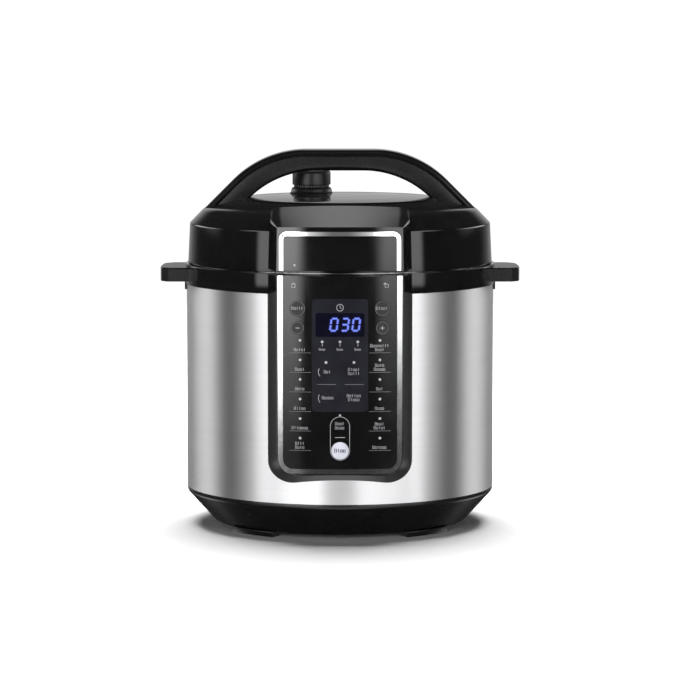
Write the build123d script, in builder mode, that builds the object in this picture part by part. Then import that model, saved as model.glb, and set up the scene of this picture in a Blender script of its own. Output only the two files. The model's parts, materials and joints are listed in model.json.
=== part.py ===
from build123d import *
from math import cos, radians, sin, sqrt
import os

# Electric pressure cooker, millimetres. Z is up, the control panel faces -Y, and the origin
# is at the middle of the footprint, on the surface that the feet stand on.

# Body heights and radii
FOOT_H = 3.0
FOOT_R = 107.0
BASE_RIM_R = 113.0
LIP_Z0, LIP_Z1 = 30.5, 34.5
WRAP_R, WRAP_T = 137.7, 0.6
WRAP_TOP = 216.6
COLLAR_R, COLLAR_TOP = 138.6, 234.5
TROUGH_Z = 219.1
EAR_Z0, EAR_Z1, EAR_X, EAR_HALF = 219.7, 231.9, 161.0, 34.0
EAR_POST_Z = 211.0
WALL = 2.5
FAR = 600.0  # longer than the whole body, for through cuts

# Pots and heater
LINER_R, LINER_T = 115.5, 2.5
LINER_FLOOR = 46.0
FLANGE_Z0, FLANGE_Z1 = 224.5, 227.0
FLANGE_R = 120.0
FLANGE_LUG_R = 123.0
PLATE_R, PLATE_TOP, PLATE_BOTTOM = 100.0, 61.7, 52.0
ELEMENT_R, ELEMENT_WIRE = 65.0, 3.4
POT_R, POT_T = 114.0, 1.2
POT_RIM_R, POT_RIM_Z0, POT_RIM_Z1 = 121.0, 227.3, 228.8
SENSOR_R, SENSOR_SEAT_R = 12.5, 12.6

# Control panel: a drafted block with a gently curved face
FACE_Y, FACE_R = -150.0, 300.0
FACE_AXIS_Y = FACE_Y + FACE_R
PANEL_TOP, PANEL_BOTTOM = 234.0, 62.2
PANEL_HALF, PANEL_ROOT_HALF, PANEL_ROOT_Y = 54.7, 62.8, -122.0
PANEL_ROOT_BOTTOM = 48.0
PANEL_CORNER, PANEL_ROOT_CORNER = 17.0, 24.0
RING_HALF, RING_Z, RING_CORNER, RING_W = 53.5, 63.1, 13.0, 4.3
RING_PROUD = 0.3
FASCIA_T = 2.5
FIT = 0.05
BOARD_FRONT, BOARD_T = -141.5, 1.6
BUTTON_GAP, BUTTON_FLANGE, FLANGE_T = 0.25, 1.0, 0.8
SWITCH_H, BUTTON_FREE = 1.2, 1.05
CENTER_HALF, CENTER_Z0, CENTER_Z1, CENTER_T = 24.1, 117.2, 214.4, 0.4
WINDOW_HALF, WINDOW_Z0, WINDOW_Z1, WINDOW_T = 21.0, 181.9, 202.3, 1.0
COLUMN_X, COLUMN_TOP, COLUMN_PITCH, COLUMN_COUNT = 34.3, 178.7, 16.9, 6
MODE_X, MODE_Z = 15.3, 177.5
OPTION_X, OPTION_Z = 12.0, 159.8
PEG_R = 1.1
BUTTONS = {
    "cancel_button": (-36.4, 206.0, 6.5),
    "minus_button": (-36.4, 189.3, 5.5),
    "start_button": (36.4, 206.0, 6.5),
    "plus_button": (36.4, 189.3, 5.5),
    "custom_button": (-12.0, 151.5, 5.0),
    "delay_button": (12.0, 151.5, 5.0),
    "level_button": (-12.0, 129.0, 6.0),
    "timer_button": (12.0, 129.0, 6.0),
    "keep_warm_button": (0.0, 103.0, 5.5),
    "menu_button": (0.0, 83.4, 7.4),
}

# Lid
LID_Z0 = 235.3
CROWN_Z = 295.5
LID_BLOCK_Z0, LID_BLOCK_Z1 = 238.0, 275.2
RAMP_BACK_Y, RAMP_BACK_Z = -100.0, 290.5
BLOCK_SECTIONS = (LID_BLOCK_Z0, 52.9, 62.8, 62.8), (294.0, 52.3, 61.2, 60.0)
BLOCK_EDGE_R = 4.0
LID_RING_HALF, LID_RING_Z1, LID_RING_W, LID_RING_CORNER = 53.0, 271.6, 4.1, 7.0
LID_RING_Z0 = 238.5
INNER_LID_Z0, INNER_LID_Z1 = 239.5, 241.0
SKIRT_R, SKIRT_T, SKIRT_Z0 = 128.5, 1.5, 220.5
LUG_R, LUG_TOP = 123.5, 223.5
SEAL_R, SEAL_IN_R, SEAL_Z0, SEAL_Z1 = 118.0, 108.0, 229.1, 239.2
SEAL_FIT = 0.08
LUG_COUNT, LUG_ANGLE = 6, 26.0

# Lid handle, an arch across the lid
ARCH_TOP, ARCH_FLAT, ARCH_R = 336.0, 30.0, 93.0
ARCH_IN_TOP, ARCH_IN_FLAT, ARCH_IN_R = 317.3, 20.7, 86.0
ARCH_DEPTH, CAP_T = 30.0, 5.7
ARCH_DROP, ARCH_FOOT = 25.5, 84.0

# Valves
VALVE_X, VALVE_Y = -25.8, 34.0
PIPE_R, PIPE_TOP = 5.0, 305.5
FLOAT_X, FLOAT_Y = -25.8, 66.0
SURROUND_R, SURROUND_Z0, SURROUND_TOP = 21.0, 288.0, 300.0
KNOB_R, KNOB_Z0, KNOB_Z1, KNOB_SKIRT_Z = 17.3, 300.3, 315.5, 302.4
KNOB_NECK_R, KNOB_RIBS = 15.0, 30
WEIGHT_R, WEIGHT_TOP = 9.0, 309.0

# Back of the body
CUP_HALF, CUP_Z0, CUP_Z1, CUP_FRONT_Y, CUP_WALL = 27.0, 150.0, 205.0, 141.3, 1.5
REAR_Y = -FACE_Y + RING_PROUD
INLET_Z, INLET_HALF, INLET_HALF_H = 61.0, 14.0, 11.0

os.makedirs("parts", exist_ok=True)


def finish(built, name):
    """Labels a finished piece and writes it to its own file."""
    built.part.label = name
    export_step(built.part, f"parts/{name}.step")


def curve_to_face(front, back):
    """Trims the block being built to a shell of the panel face, from front to back behind it."""
    with Locations((0, FACE_AXIS_Y, 200)):
        Cylinder(FACE_R - front, FAR, mode=Mode.INTERSECT)
        Cylinder(FACE_R - back, FAR, mode=Mode.SUBTRACT)


def u_outline(half, z0, corner, z1=PANEL_TOP):
    """Rectangle with round lower corners and a straight top edge."""
    with Locations((0, (z0 + z1) / 2 + 20)):
        RectangleRounded(2 * half, z1 - z0 + 40, corner)
    with Locations((0, z1 + 50)):
        Rectangle(4 * half, 100, mode=Mode.SUBTRACT)


def n_outline(half, z1, corner, z0=LID_RING_Z0):
    """Rectangle with round upper corners and a straight bottom edge."""
    with Locations((0, (z0 + z1) / 2 - 20)):
        RectangleRounded(2 * half, z1 - z0 + 40, corner)
    with Locations((0, z0 - 50)):
        Rectangle(4 * half, 100, mode=Mode.SUBTRACT)


def drafted(y, near, far, near_y=-150.0, far_y=PANEL_ROOT_Y):
    """Value at depth y of a size that runs evenly from near to far."""
    return near + (far - near) * (y - near_y) / (far_y - near_y)


# ---------------------------------------------------------------- bottom housing
with BuildPart() as bottom_housing:
    with BuildSketch(Plane.XZ):
        with BuildLine():
            Polyline(
                (84, FOOT_H), (BASE_RIM_R, FOOT_H), (WRAP_R - 0.2, LIP_Z0), (WRAP_R - 0.2, LIP_Z1),
                (WRAP_R - WRAP_T - FIT, LIP_Z1), (WRAP_R - WRAP_T - FIT, 40), (134.5, 40),
                (134.5, LIP_Z0 + 1), (BASE_RIM_R - 1.5, FOOT_H + 3), (78, FOOT_H + 3), (78, 4.6),
                (84, 4.6), close=True,
            )
        make_face()
    revolve(axis=Axis.Z)
    with BuildSketch(Plane.XY.offset(FOOT_H + 2)):
        with PolarLocations(90, 3, start_angle=90):
            Circle(5)
    extrude(amount=LINER_FLOOR - FOOT_H - 2)
    with BuildSketch(Plane.XY.offset(FOOT_H + 2)):
        with PolarLocations(81, 4, start_angle=45):
            Circle(4)
    extrude(amount=9)
    with BuildSketch(Plane.XY.offset(FOOT_H)):
        with PolarLocations(81, 4, start_angle=45):
            Circle(1.5)
    extrude(amount=9, mode=Mode.SUBTRACT)
finish(bottom_housing, "bottom_housing")

with BuildPart() as bottom_cover:
    with BuildSketch(Plane.XY.offset(FOOT_H + 0.1)):
        Circle(83.7)
    extrude(amount=1.5)
    with BuildSketch(Plane.XY.offset(4.6)):
        with Locations((0, 20)):
            with GridLocations(86, 66, 2, 2):
                Circle(3.5)
    extrude(amount=7.4)
    with BuildSketch(Plane.XY.offset(FOOT_H)):
        with PolarLocations(52, 24):
            SlotOverall(22, 2.4)
        with PolarLocations(81, 4, start_angle=45):
            Circle(1.7)
    extrude(amount=2, mode=Mode.SUBTRACT)
finish(bottom_cover, "bottom_cover")

with BuildPart() as bottom_screws:
    with BuildSketch(Plane.XY.offset(1.5)):
        with PolarLocations(81, 4, start_angle=45):
            Circle(3)
    extrude(amount=1.6)
    with BuildSketch(Plane.XY.offset(FOOT_H)):
        with PolarLocations(81, 4, start_angle=45):
            Circle(1.48)
    extrude(amount=8)
finish(bottom_screws, "bottom_screws")

with BuildPart() as rubber_feet:
    with BuildSketch(Plane.XY):
        Circle(FOOT_R)
        Circle(FOOT_R - 11, mode=Mode.SUBTRACT)
        for start, half_angle in ((0, radians(26)), (90, radians(30))):
            reach = 200 * cos(half_angle), 200 * sin(half_angle)
            with PolarLocations(0, 2, start_angle=start):
                Polygon((0, 0), (reach[0], -reach[1]), reach, align=None, mode=Mode.SUBTRACT)
    extrude(amount=FOOT_H)
finish(rubber_feet, "rubber_feet")

# ---------------------------------------------------------------- body shell
with BuildPart() as outer_shell:
    with BuildSketch(Plane.XY.offset(LIP_Z1)):
        Circle(WRAP_R)
        Circle(WRAP_R - WRAP_T, mode=Mode.SUBTRACT)
    extrude(amount=WRAP_TOP - LIP_Z1)
    with BuildSketch(Plane.XZ):
        with Locations((0, 87.5)):
            Rectangle(24, 8)
    extrude(amount=200, mode=Mode.SUBTRACT)
    with BuildSketch(Plane.XZ):
        with Locations((0, INLET_Z)):
            Rectangle(2 * INLET_HALF, 2 * INLET_HALF_H)
    extrude(amount=-200, mode=Mode.SUBTRACT)
finish(outer_shell, "outer_shell")

with BuildPart() as collar:
    with BuildSketch(Plane.XZ):
        with BuildLine():
            Polyline(
                (COLLAR_R, WRAP_TOP), (COLLAR_R, COLLAR_TOP), (COLLAR_R - 3, COLLAR_TOP),
                (COLLAR_R - 3, TROUGH_Z), (LINER_R + LINER_T + 3.5, TROUGH_Z),
                (LINER_R + LINER_T + 3.5, FLANGE_Z0), (LINER_R + LINER_T + 1, FLANGE_Z0),
                (LINER_R + LINER_T + 1, TROUGH_Z - WALL), (134, TROUGH_Z - WALL), (134, 210),
                (WRAP_R - WRAP_T - FIT, 210), (WRAP_R - WRAP_T - FIT, WRAP_TOP), close=True,
            )
        make_face()
    revolve(axis=Axis.Z)
finish(collar, "collar")

with BuildPart() as side_handle_right:
    with BuildSketch(Plane.XY.offset(EAR_Z0)):
        with BuildLine():
            Polyline((120, -EAR_HALF), (EAR_X - 8, -EAR_HALF), (EAR_X - 2, -EAR_HALF + 7))
            ThreePointArc((EAR_X - 2, -EAR_HALF + 7), (EAR_X, 0), (EAR_X - 2, EAR_HALF - 9))
            Polyline((EAR_X - 2, EAR_HALF - 9), (EAR_X - 10, EAR_HALF), (120, EAR_HALF), (120, -EAR_HALF))
        make_face()
    extrude(amount=EAR_Z1 - EAR_Z0)
    chamfer(edges().group_by(Axis.Z)[-1], 1.2)
    with BuildSketch(Plane.XY.offset(EAR_Z0)):
        with Locations((148.5, 0)):
            RectangleRounded(18, 2 * EAR_HALF - 9, 3)
    extrude(amount=EAR_Z1 - EAR_Z0 - WALL, mode=Mode.SUBTRACT)
    with BuildSketch(Plane.XY.offset(EAR_POST_Z)):
        with Locations((134.6, 0)):
            Rectangle(9, 22)
    extrude(amount=EAR_Z0 - EAR_POST_Z + 1)
    with BuildSketch(Plane.XY.offset(200)):
        Circle(WRAP_R)
    extrude(amount=WRAP_TOP - 200, mode=Mode.SUBTRACT)
    with BuildSketch(Plane.XY.offset(WRAP_TOP)):
        Circle(COLLAR_R)
    extrude(amount=30, mode=Mode.SUBTRACT)
finish(side_handle_right, "side_handle_right")

with BuildPart() as side_handle_left:
    add(side_handle_right.part)
    mirror(about=Plane.YZ, mode=Mode.REPLACE)
finish(side_handle_left, "side_handle_left")

# ---------------------------------------------------------------- pots and heater
with BuildPart() as outer_pot:
    with BuildSketch(Plane.XZ):
        with BuildLine():
            Polyline(
                (20, LINER_FLOOR), (LINER_R - 4, LINER_FLOOR), (LINER_R + LINER_T, LINER_FLOOR + 6.5),
                (LINER_R + LINER_T, FLANGE_Z0), (FLANGE_R, FLANGE_Z0), (FLANGE_R, FLANGE_Z1),
                (LINER_R, FLANGE_Z1), (LINER_R, LINER_FLOOR + 7.5), (LINER_R - 5, LINER_FLOOR + LINER_T),
                (20, LINER_FLOOR + LINER_T), close=True,
            )
        make_face()
    revolve(axis=Axis.Z)
    with BuildSketch(Plane.XY.offset(FLANGE_Z0)):
        Circle(FLANGE_LUG_R)
        Circle(FLANGE_R - 1, mode=Mode.SUBTRACT)
        for lug in range(LUG_COUNT):
            turn = radians(lug * 360 / LUG_COUNT)
            wide = radians(360 / LUG_COUNT - LUG_ANGLE) / 2
            Polygon(
                (0, 0), (200 * cos(turn - wide), 200 * sin(turn - wide)),
                (200 * cos(turn + wide), 200 * sin(turn + wide)), align=None, mode=Mode.SUBTRACT,
            )
    extrude(amount=FLANGE_Z1 - FLANGE_Z0)
finish(outer_pot, "outer_pot")

with BuildPart() as heating_plate:
    with BuildSketch(Plane.XY.offset(PLATE_BOTTOM)):
        Circle(PLATE_R)
        Circle(SENSOR_SEAT_R, mode=Mode.SUBTRACT)
    extrude(amount=PLATE_TOP - PLATE_BOTTOM)
    with BuildSketch(Plane.XY.offset(LINER_FLOOR + LINER_T)):
        with PolarLocations(80, 3, start_angle=30):
            Circle(4)
    extrude(amount=PLATE_BOTTOM - LINER_FLOOR - LINER_T + 1)
    with Locations((0, 0, PLATE_BOTTOM)):
        Torus(ELEMENT_R, ELEMENT_WIRE, mode=Mode.SUBTRACT)
finish(heating_plate, "heating_plate")

with BuildPart() as heater_element:
    with Locations((0, 0, PLATE_BOTTOM)):
        Torus(ELEMENT_R, ELEMENT_WIRE - 0.02)
    with Locations((ELEMENT_R, 0, LINER_FLOOR + LINER_T)):
        Cylinder(2, PLATE_BOTTOM - LINER_FLOOR - LINER_T, align=(Align.CENTER, Align.CENTER, Align.MIN))
finish(heater_element, "heater_element")

SENSOR_TOP, SENSOR_ROOF, SENSOR_SKIRT_Z = PLATE_TOP, PLATE_TOP - 1.5, 52.0
SEAT_TOP = LINER_FLOOR
with BuildPart() as sensor_holder:
    with BuildSketch(Plane.XY.offset(SEAT_TOP - 1.5)):
        Circle(24)
    extrude(amount=1.5)
    with BuildSketch(Plane.XY.offset(SEAT_TOP)):
        Circle(4)
    extrude(amount=4)
finish(sensor_holder, "sensor_holder")

with BuildPart() as temperature_sensor:
    with BuildSketch(Plane.XZ):
        with BuildLine():
            Polyline(
                (0, SENSOR_TOP), (SENSOR_R - 1, SENSOR_TOP), (SENSOR_R, SENSOR_TOP - 1),
                (SENSOR_R, SENSOR_SKIRT_Z), (SENSOR_R - 1.5, SENSOR_SKIRT_Z),
                (SENSOR_R - 1.5, SENSOR_ROOF), (0, SENSOR_ROOF), close=True,
            )
        make_face()
    revolve(axis=Axis.Z)
finish(temperature_sensor, "temperature_sensor")

SPRING_R, SPRING_WIRE, SPRING_TURNS = 7.0, 0.45, 4
SPRING_H = SENSOR_ROOF - SEAT_TOP - 2 * SPRING_WIRE
with BuildPart() as sensor_spring:
    with BuildLine():
        coil = Helix(SPRING_H / SPRING_TURNS, SPRING_H, SPRING_R, center=(0, 0, SEAT_TOP + SPRING_WIRE))
    with BuildSketch(Plane(coil @ 0, z_dir=coil % 0)):
        Circle(SPRING_WIRE)
    sweep(is_frenet=True)
finish(sensor_spring, "sensor_spring")

with BuildPart() as pressure_switch:
    with BuildSketch(Plane.XY.offset(LINER_FLOOR)):
        with Locations((60, 0)):
            RectangleRounded(24, 16, 2)
    extrude(amount=-12)
finish(pressure_switch, "pressure_switch")

with BuildPart() as thermal_fuse:
    with BuildSketch(Plane.XZ.offset(-12)):
        with Locations((-60, LINER_FLOOR - 3)):
            Circle(2.6)
    extrude(amount=24)
    with BuildSketch(Plane.XY.offset(LINER_FLOOR)):
        with Locations((-60, 0)):
            Rectangle(9, 8)
    extrude(amount=-6.5)
finish(thermal_fuse, "thermal_fuse")

BOARD_Z, BOARD_Y = 12.0, 20.0
with BuildPart() as power_board:
    with BuildSketch(Plane.XY.offset(BOARD_Z)):
        with Locations((0, BOARD_Y)):
            Rectangle(98, 80)
    extrude(amount=BOARD_T)
    for x, y, wide, deep, high in (
        (-32, 35, 30, 26, 19), (10, 40, 20, 16, 15), (36, 38, 16, 16, 12), (0, -14, 24, 8, 7.8),
    ):
        with BuildSketch(Plane.XY.offset(BOARD_Z + BOARD_T)):
            with Locations((x, y)):
                Rectangle(wide, deep)
        extrude(amount=high)
    with BuildSketch(Plane.XY.offset(BOARD_Z + BOARD_T)):
        with Locations((38, 8), (20, 8), (-20, 6)):
            Circle(6)
    extrude(amount=15)
finish(power_board, "power_board")

with BuildPart() as inner_pot:
    with BuildSketch(Plane.XZ):
        with BuildLine():
            Polyline(
                (0, PLATE_TOP), (POT_R - 9, PLATE_TOP), (POT_R - 2.6, PLATE_TOP + 2.6),
                (POT_R, PLATE_TOP + 9), (POT_R, POT_RIM_Z0), (POT_RIM_R, POT_RIM_Z0),
                (POT_RIM_R, POT_RIM_Z1), (POT_R - POT_T, POT_RIM_Z1), (POT_R - POT_T, PLATE_TOP + 9.3),
                (POT_R - 3.5, PLATE_TOP + 3.5), (POT_R - 9.3, PLATE_TOP + POT_T),
                (0, PLATE_TOP + POT_T), close=True,
            )
        make_face()
    revolve(axis=Axis.Z)
finish(inner_pot, "inner_pot")

# ---------------------------------------------------------------- control panel
# Cutters for the holes that the panel's pieces sit in
with BuildPart() as face_pocket:
    with BuildSketch(Plane.XZ.offset(160)):
        u_outline(RING_HALF, RING_Z, RING_CORNER)
    extrude(amount=-70)
    curve_to_face(-5, FASCIA_T)

with BuildPart() as center_blank:
    with BuildSketch(Plane.XZ.offset(160)):
        with Locations((0, (CENTER_Z0 + CENTER_Z1) / 2)):
            RectangleRounded(2 * CENTER_HALF, CENTER_Z1 - CENTER_Z0, 3)
    extrude(amount=-70)
    curve_to_face(0, CENTER_T)

WINDOW_Z = (WINDOW_Z0 + WINDOW_Z1) / 2
with BuildPart() as display_window:
    with BuildSketch(Plane.XZ.offset(160)):
        with Locations((0, WINDOW_Z)):
            RectangleRounded(2 * WINDOW_HALF, WINDOW_Z1 - WINDOW_Z0, 1.5)
    extrude(amount=-70)
    curve_to_face(0, WINDOW_T)
finish(display_window, "display_window")

COLUMN = [(side * COLUMN_X, COLUMN_TOP - i * COLUMN_PITCH) for side in (-1, 1) for i in range(COLUMN_COUNT)]
MODES = [(x, MODE_Z) for x in (-MODE_X, 0, MODE_X)]
OPTIONS = [(-OPTION_X, OPTION_Z), (OPTION_X, OPTION_Z)]
with BuildPart() as light_holes:
    with BuildSketch(Plane.XZ.offset(160)):
        with Locations(*COLUMN, *MODES, *OPTIONS):
            Circle(PEG_R + FIT)
    extrude(amount=-70)

with BuildPart() as light_guides:
    with BuildSketch(Plane.XZ.offset(160)):
        with Locations(*COLUMN, *MODES, *OPTIONS):
            Circle(PEG_R)
    extrude(amount=-70)
    curve_to_face(0, FASCIA_T)
    with BuildPart(mode=Mode.PRIVATE) as guide_bars:
        with BuildSketch(Plane.XZ.offset(160)):
            column_mid = COLUMN_TOP - (COLUMN_COUNT - 1) * COLUMN_PITCH / 2
            with Locations((-COLUMN_X, column_mid), (COLUMN_X, column_mid)):
                Rectangle(3, (COLUMN_COUNT - 1) * COLUMN_PITCH + 3)
            with Locations((0, MODE_Z)):
                Rectangle(2 * MODE_X + 3, 3)
            with Locations(*[(x, (MODE_Z + OPTION_Z) / 2) for x, _ in OPTIONS]):
                Rectangle(3, MODE_Z - OPTION_Z + 3)
        extrude(amount=-70)
        curve_to_face(FASCIA_T, FASCIA_T + 1)
    add(guide_bars.part)
finish(light_guides, "light_guides")

with BuildPart() as center_plate:
    add(center_blank.part)
    add(display_window.part, mode=Mode.SUBTRACT)
    add(light_holes.part, mode=Mode.SUBTRACT)
    with BuildSketch(Plane.XZ.offset(160)):
        for x, z, radius in BUTTONS.values():
            with Locations((x, z)):
                Circle(radius + BUTTON_GAP)
    extrude(amount=-70, mode=Mode.SUBTRACT)
finish(center_plate, "center_plate")

with BuildPart() as panel_fascia:
    with BuildSketch(Plane.XZ.offset(160)):
        u_outline(RING_HALF - RING_W - FIT, RING_Z + RING_W + FIT, RING_CORNER - RING_W)
    extrude(amount=-70)
    curve_to_face(0, FASCIA_T)
    with BuildSketch(Plane.XZ.offset(-BOARD_FRONT)):
        with Locations((-37, 80), (37, 80), (-37, 219), (37, 219)):
            Circle(2)
    extrude(amount=5)
    add(center_blank.part, mode=Mode.SUBTRACT)
    add(display_window.part, mode=Mode.SUBTRACT)
    add(light_holes.part, mode=Mode.SUBTRACT)
    with BuildSketch(Plane.XZ.offset(160)):
        for x, z, radius in BUTTONS.values():
            with Locations((x, z)):
                Circle(radius + BUTTON_GAP)
        with Locations((0, WINDOW_Z)):
            Rectangle(2 * WINDOW_HALF - 3, WINDOW_Z1 - WINDOW_Z0 - 3)
    extrude(amount=-70, mode=Mode.SUBTRACT)
finish(panel_fascia, "panel_fascia")

with BuildPart() as panel_trim:
    with BuildSketch(Plane.XZ.offset(160)):
        u_outline(RING_HALF - FIT, RING_Z + FIT, RING_CORNER)
        with Locations((0, (RING_Z + RING_W + 300) / 2)):
            RectangleRounded(
                2 * (RING_HALF - RING_W), 300 - RING_Z - RING_W, RING_CORNER - RING_W, mode=Mode.SUBTRACT
            )
    extrude(amount=-70)
    curve_to_face(-RING_PROUD, FASCIA_T)
finish(panel_trim, "panel_trim")

with BuildPart() as panel_housing:
    for y in (-156, -108):
        half = drafted(y, PANEL_HALF, PANEL_ROOT_HALF, near_y=-145)
        low = drafted(y, PANEL_BOTTOM, PANEL_ROOT_BOTTOM)
        with BuildSketch(Plane.XZ.offset(-y)):
            with Locations((0, (low + 280) / 2)):
                RectangleRounded(2 * half, 280 - low, drafted(y, PANEL_CORNER, PANEL_ROOT_CORNER))
    loft(ruled=True)
    with Locations((0, FACE_AXIS_Y, 200)):
        Cylinder(FACE_R, FAR, mode=Mode.INTERSECT)
    with BuildSketch(Plane.XY.offset(PANEL_TOP)):
        Rectangle(400, 400)
    extrude(amount=80, mode=Mode.SUBTRACT)
    with BuildSketch(Plane.XY):
        Circle(WRAP_R)
    extrude(amount=WRAP_TOP, mode=Mode.SUBTRACT)
    with BuildSketch(Plane.XY.offset(WRAP_TOP)):
        Circle(COLLAR_R)
    extrude(amount=50, mode=Mode.SUBTRACT)
    add(face_pocket.part, mode=Mode.SUBTRACT)
    with BuildSketch(Plane.XZ.offset(148.5)):
        with Locations((0, 149)):
            Rectangle(92, 154)
    extrude(amount=-60, mode=Mode.SUBTRACT)
finish(panel_housing, "panel_housing")

with BuildPart() as control_board:
    with BuildSketch(Plane.XZ.offset(-BOARD_FRONT)):
        with Locations((0, 149)):
            Rectangle(80, 146)
    extrude(amount=-BOARD_T)
    with BuildSketch(Plane.XZ.offset(-BOARD_FRONT)):
        for x, z, radius in BUTTONS.values():
            with Locations((x, z)):
                Rectangle(5, 5)
    extrude(amount=SWITCH_H)
finish(control_board, "control_board")

with BuildPart() as display_module:
    with BuildSketch(Plane.XZ.offset(-BOARD_FRONT)):
        with Locations((0, WINDOW_Z)):
            Rectangle(2 * WINDOW_HALF - 5, WINDOW_Z1 - WINDOW_Z0 - 4)
    extrude(amount=5.5)
finish(display_module, "display_module")

for name, (x, z, radius) in BUTTONS.items():
    with BuildPart() as button:
        with BuildSketch(Plane.XZ.offset(160)):
            with Locations((x, z)):
                Circle(radius)
        extrude(amount=-70)
        curve_to_face(0, FASCIA_T)
        with BuildPart(mode=Mode.PRIVATE) as flange:
            with BuildSketch(Plane.XZ.offset(160)):
                with Locations((x, z)):
                    Circle(radius + BUTTON_FLANGE)
            extrude(amount=-70)
            curve_to_face(FASCIA_T, FASCIA_T + FLANGE_T)
        add(flange.part)
        with BuildSketch(Plane.XZ.offset(-BOARD_FRONT + SWITCH_H + BUTTON_FREE)):
            with Locations((x, z)):
                Circle(2)
        extrude(amount=3.4)
    finish(button, name)

RIBBON_Z, RIBBON_Y, RIBBON_T = 88.0, -121.0, 0.6
with BuildPart() as ribbon_cable:
    with BuildSketch(Plane.YZ):
        with BuildLine():
            Polyline(
                (BOARD_FRONT + BOARD_T, RIBBON_Z), (RIBBON_Y, RIBBON_Z), (RIBBON_Y, 22),
                (-10, 22), (-10, 22 - RIBBON_T), (RIBBON_Y - RIBBON_T, 22 - RIBBON_T),
                (RIBBON_Y - RIBBON_T, RIBBON_Z - RIBBON_T), (BOARD_FRONT + BOARD_T, RIBBON_Z - RIBBON_T),
                close=True,
            )
        make_face()
    extrude(amount=9, both=True)
finish(ribbon_cable, "ribbon_cable")

# ---------------------------------------------------------------- back of the body
with BuildPart() as power_inlet:
    with BuildSketch(Plane.XZ.offset(-119.5)):
        with Locations((0, INLET_Z)):
            RectangleRounded(2 * INLET_HALF - 0.2, 2 * INLET_HALF_H - 0.2, 2)
    extrude(amount=-20)
    with BuildPart(mode=Mode.PRIVATE) as bezel:
        with BuildSketch(Plane.XZ.offset(-130)):
            with Locations((0, INLET_Z)):
                RectangleRounded(34, 29, 4)
        extrude(amount=-10.4)
        with BuildSketch(Plane.XY):
            Circle(WRAP_R)
        extrude(amount=200, mode=Mode.SUBTRACT)
    add(bezel.part)
    with BuildSketch(Plane.XZ.offset(-124)):
        with Locations((0, INLET_Z)):
            RectangleRounded(22, 14.5, 2)
    extrude(amount=-30, mode=Mode.SUBTRACT)
finish(power_inlet, "power_inlet")

with BuildPart() as inlet_pins:
    with BuildSketch(Plane.XZ.offset(-124)):
        with Locations((-7, INLET_Z - 1), (0, INLET_Z + 2), (7, INLET_Z - 1)):
            Rectangle(2, 4)
    extrude(amount=-10)
finish(inlet_pins, "inlet_pins")

CHEEK_T = 2.5
with BuildPart() as cup_bracket:
    with BuildSketch(Plane.XZ.offset(-130)):
        with Locations((0, (CUP_Z0 + CUP_Z1) / 2 + 3)):
            RectangleRounded(2 * (CUP_HALF + CHEEK_T + 0.5), CUP_Z1 - CUP_Z0 + 6, 4)
    extrude(amount=-(CUP_FRONT_Y - 0.3 - 130))
    with BuildSketch(Plane.XZ.offset(-(CUP_FRONT_Y - 1))):
        with Locations((-CUP_HALF - 0.5 - CHEEK_T / 2, 178), (CUP_HALF + 0.5 + CHEEK_T / 2, 178)):
            Rectangle(CHEEK_T, 46)
    extrude(amount=-6)
    with BuildSketch(Plane.XZ.offset(-(CUP_FRONT_Y - 1))):
        with Locations((0, CUP_Z1 + 3)):
            Rectangle(14, 5)
    extrude(amount=-5)
    with BuildSketch(Plane.XY):
        Circle(WRAP_R)
    extrude(amount=300, mode=Mode.SUBTRACT)
finish(cup_bracket, "cup_bracket")

with BuildPart() as condensation_cup:
    with BuildSketch(Plane.XY.offset(CUP_Z0)):
        with Locations((0, (CUP_FRONT_Y + REAR_Y) / 2)):
            RectangleRounded(2 * CUP_HALF, REAR_Y - CUP_FRONT_Y, 2.5)
    extrude(amount=CUP_Z1 - CUP_Z0)
    with BuildSketch(Plane.XY.offset(CUP_Z0 + CUP_WALL)):
        with Locations((0, (CUP_FRONT_Y + REAR_Y) / 2)):
            RectangleRounded(2 * (CUP_HALF - CUP_WALL), REAR_Y - CUP_FRONT_Y - 2 * CUP_WALL, 1)
    extrude(amount=CUP_Z1, mode=Mode.SUBTRACT)
finish(condensation_cup, "condensation_cup")

# ---------------------------------------------------------------- lid
COVER = [
    (136.3, LID_Z0), (134.8, 266.5), (134.3, 270.4), (120.5, 284.2), (91, 291.6), (90.4, 290.8),
    (89, 290.8), (88, 292.4), (86.5, 293.1),
]
with BuildPart() as cover_outside:
    with BuildSketch(Plane.XZ):
        with BuildLine():
            Polyline((0, LID_Z0), *COVER)
            Polyline((0, LID_Z0), (0, CROWN_Z))
            ThreePointArc((0, CROWN_Z), (43, CROWN_Z - 0.6), COVER[-1])
        make_face()
    revolve(axis=Axis.Z)

with BuildPart() as cover_inside:
    with BuildSketch(Plane.XZ):
        with BuildLine():
            Polyline(
                (0, LID_Z0 - 5), (133.8, LID_Z0 - 5), (132.3, 266.2), (131.8, 269.2), (119.4, 281.6),
                (91, 288.6), (86, 290.2), (0, CROWN_Z - WALL), close=True,
            )
        make_face()
    revolve(axis=Axis.Z)

with BuildPart() as lid_ring_pocket:
    with BuildSketch(Plane.XZ.offset(160)):
        n_outline(LID_RING_HALF, LID_RING_Z1, LID_RING_CORNER, LID_BLOCK_Z0)
    extrude(amount=-70)
    curve_to_face(-5, 2)

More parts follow.
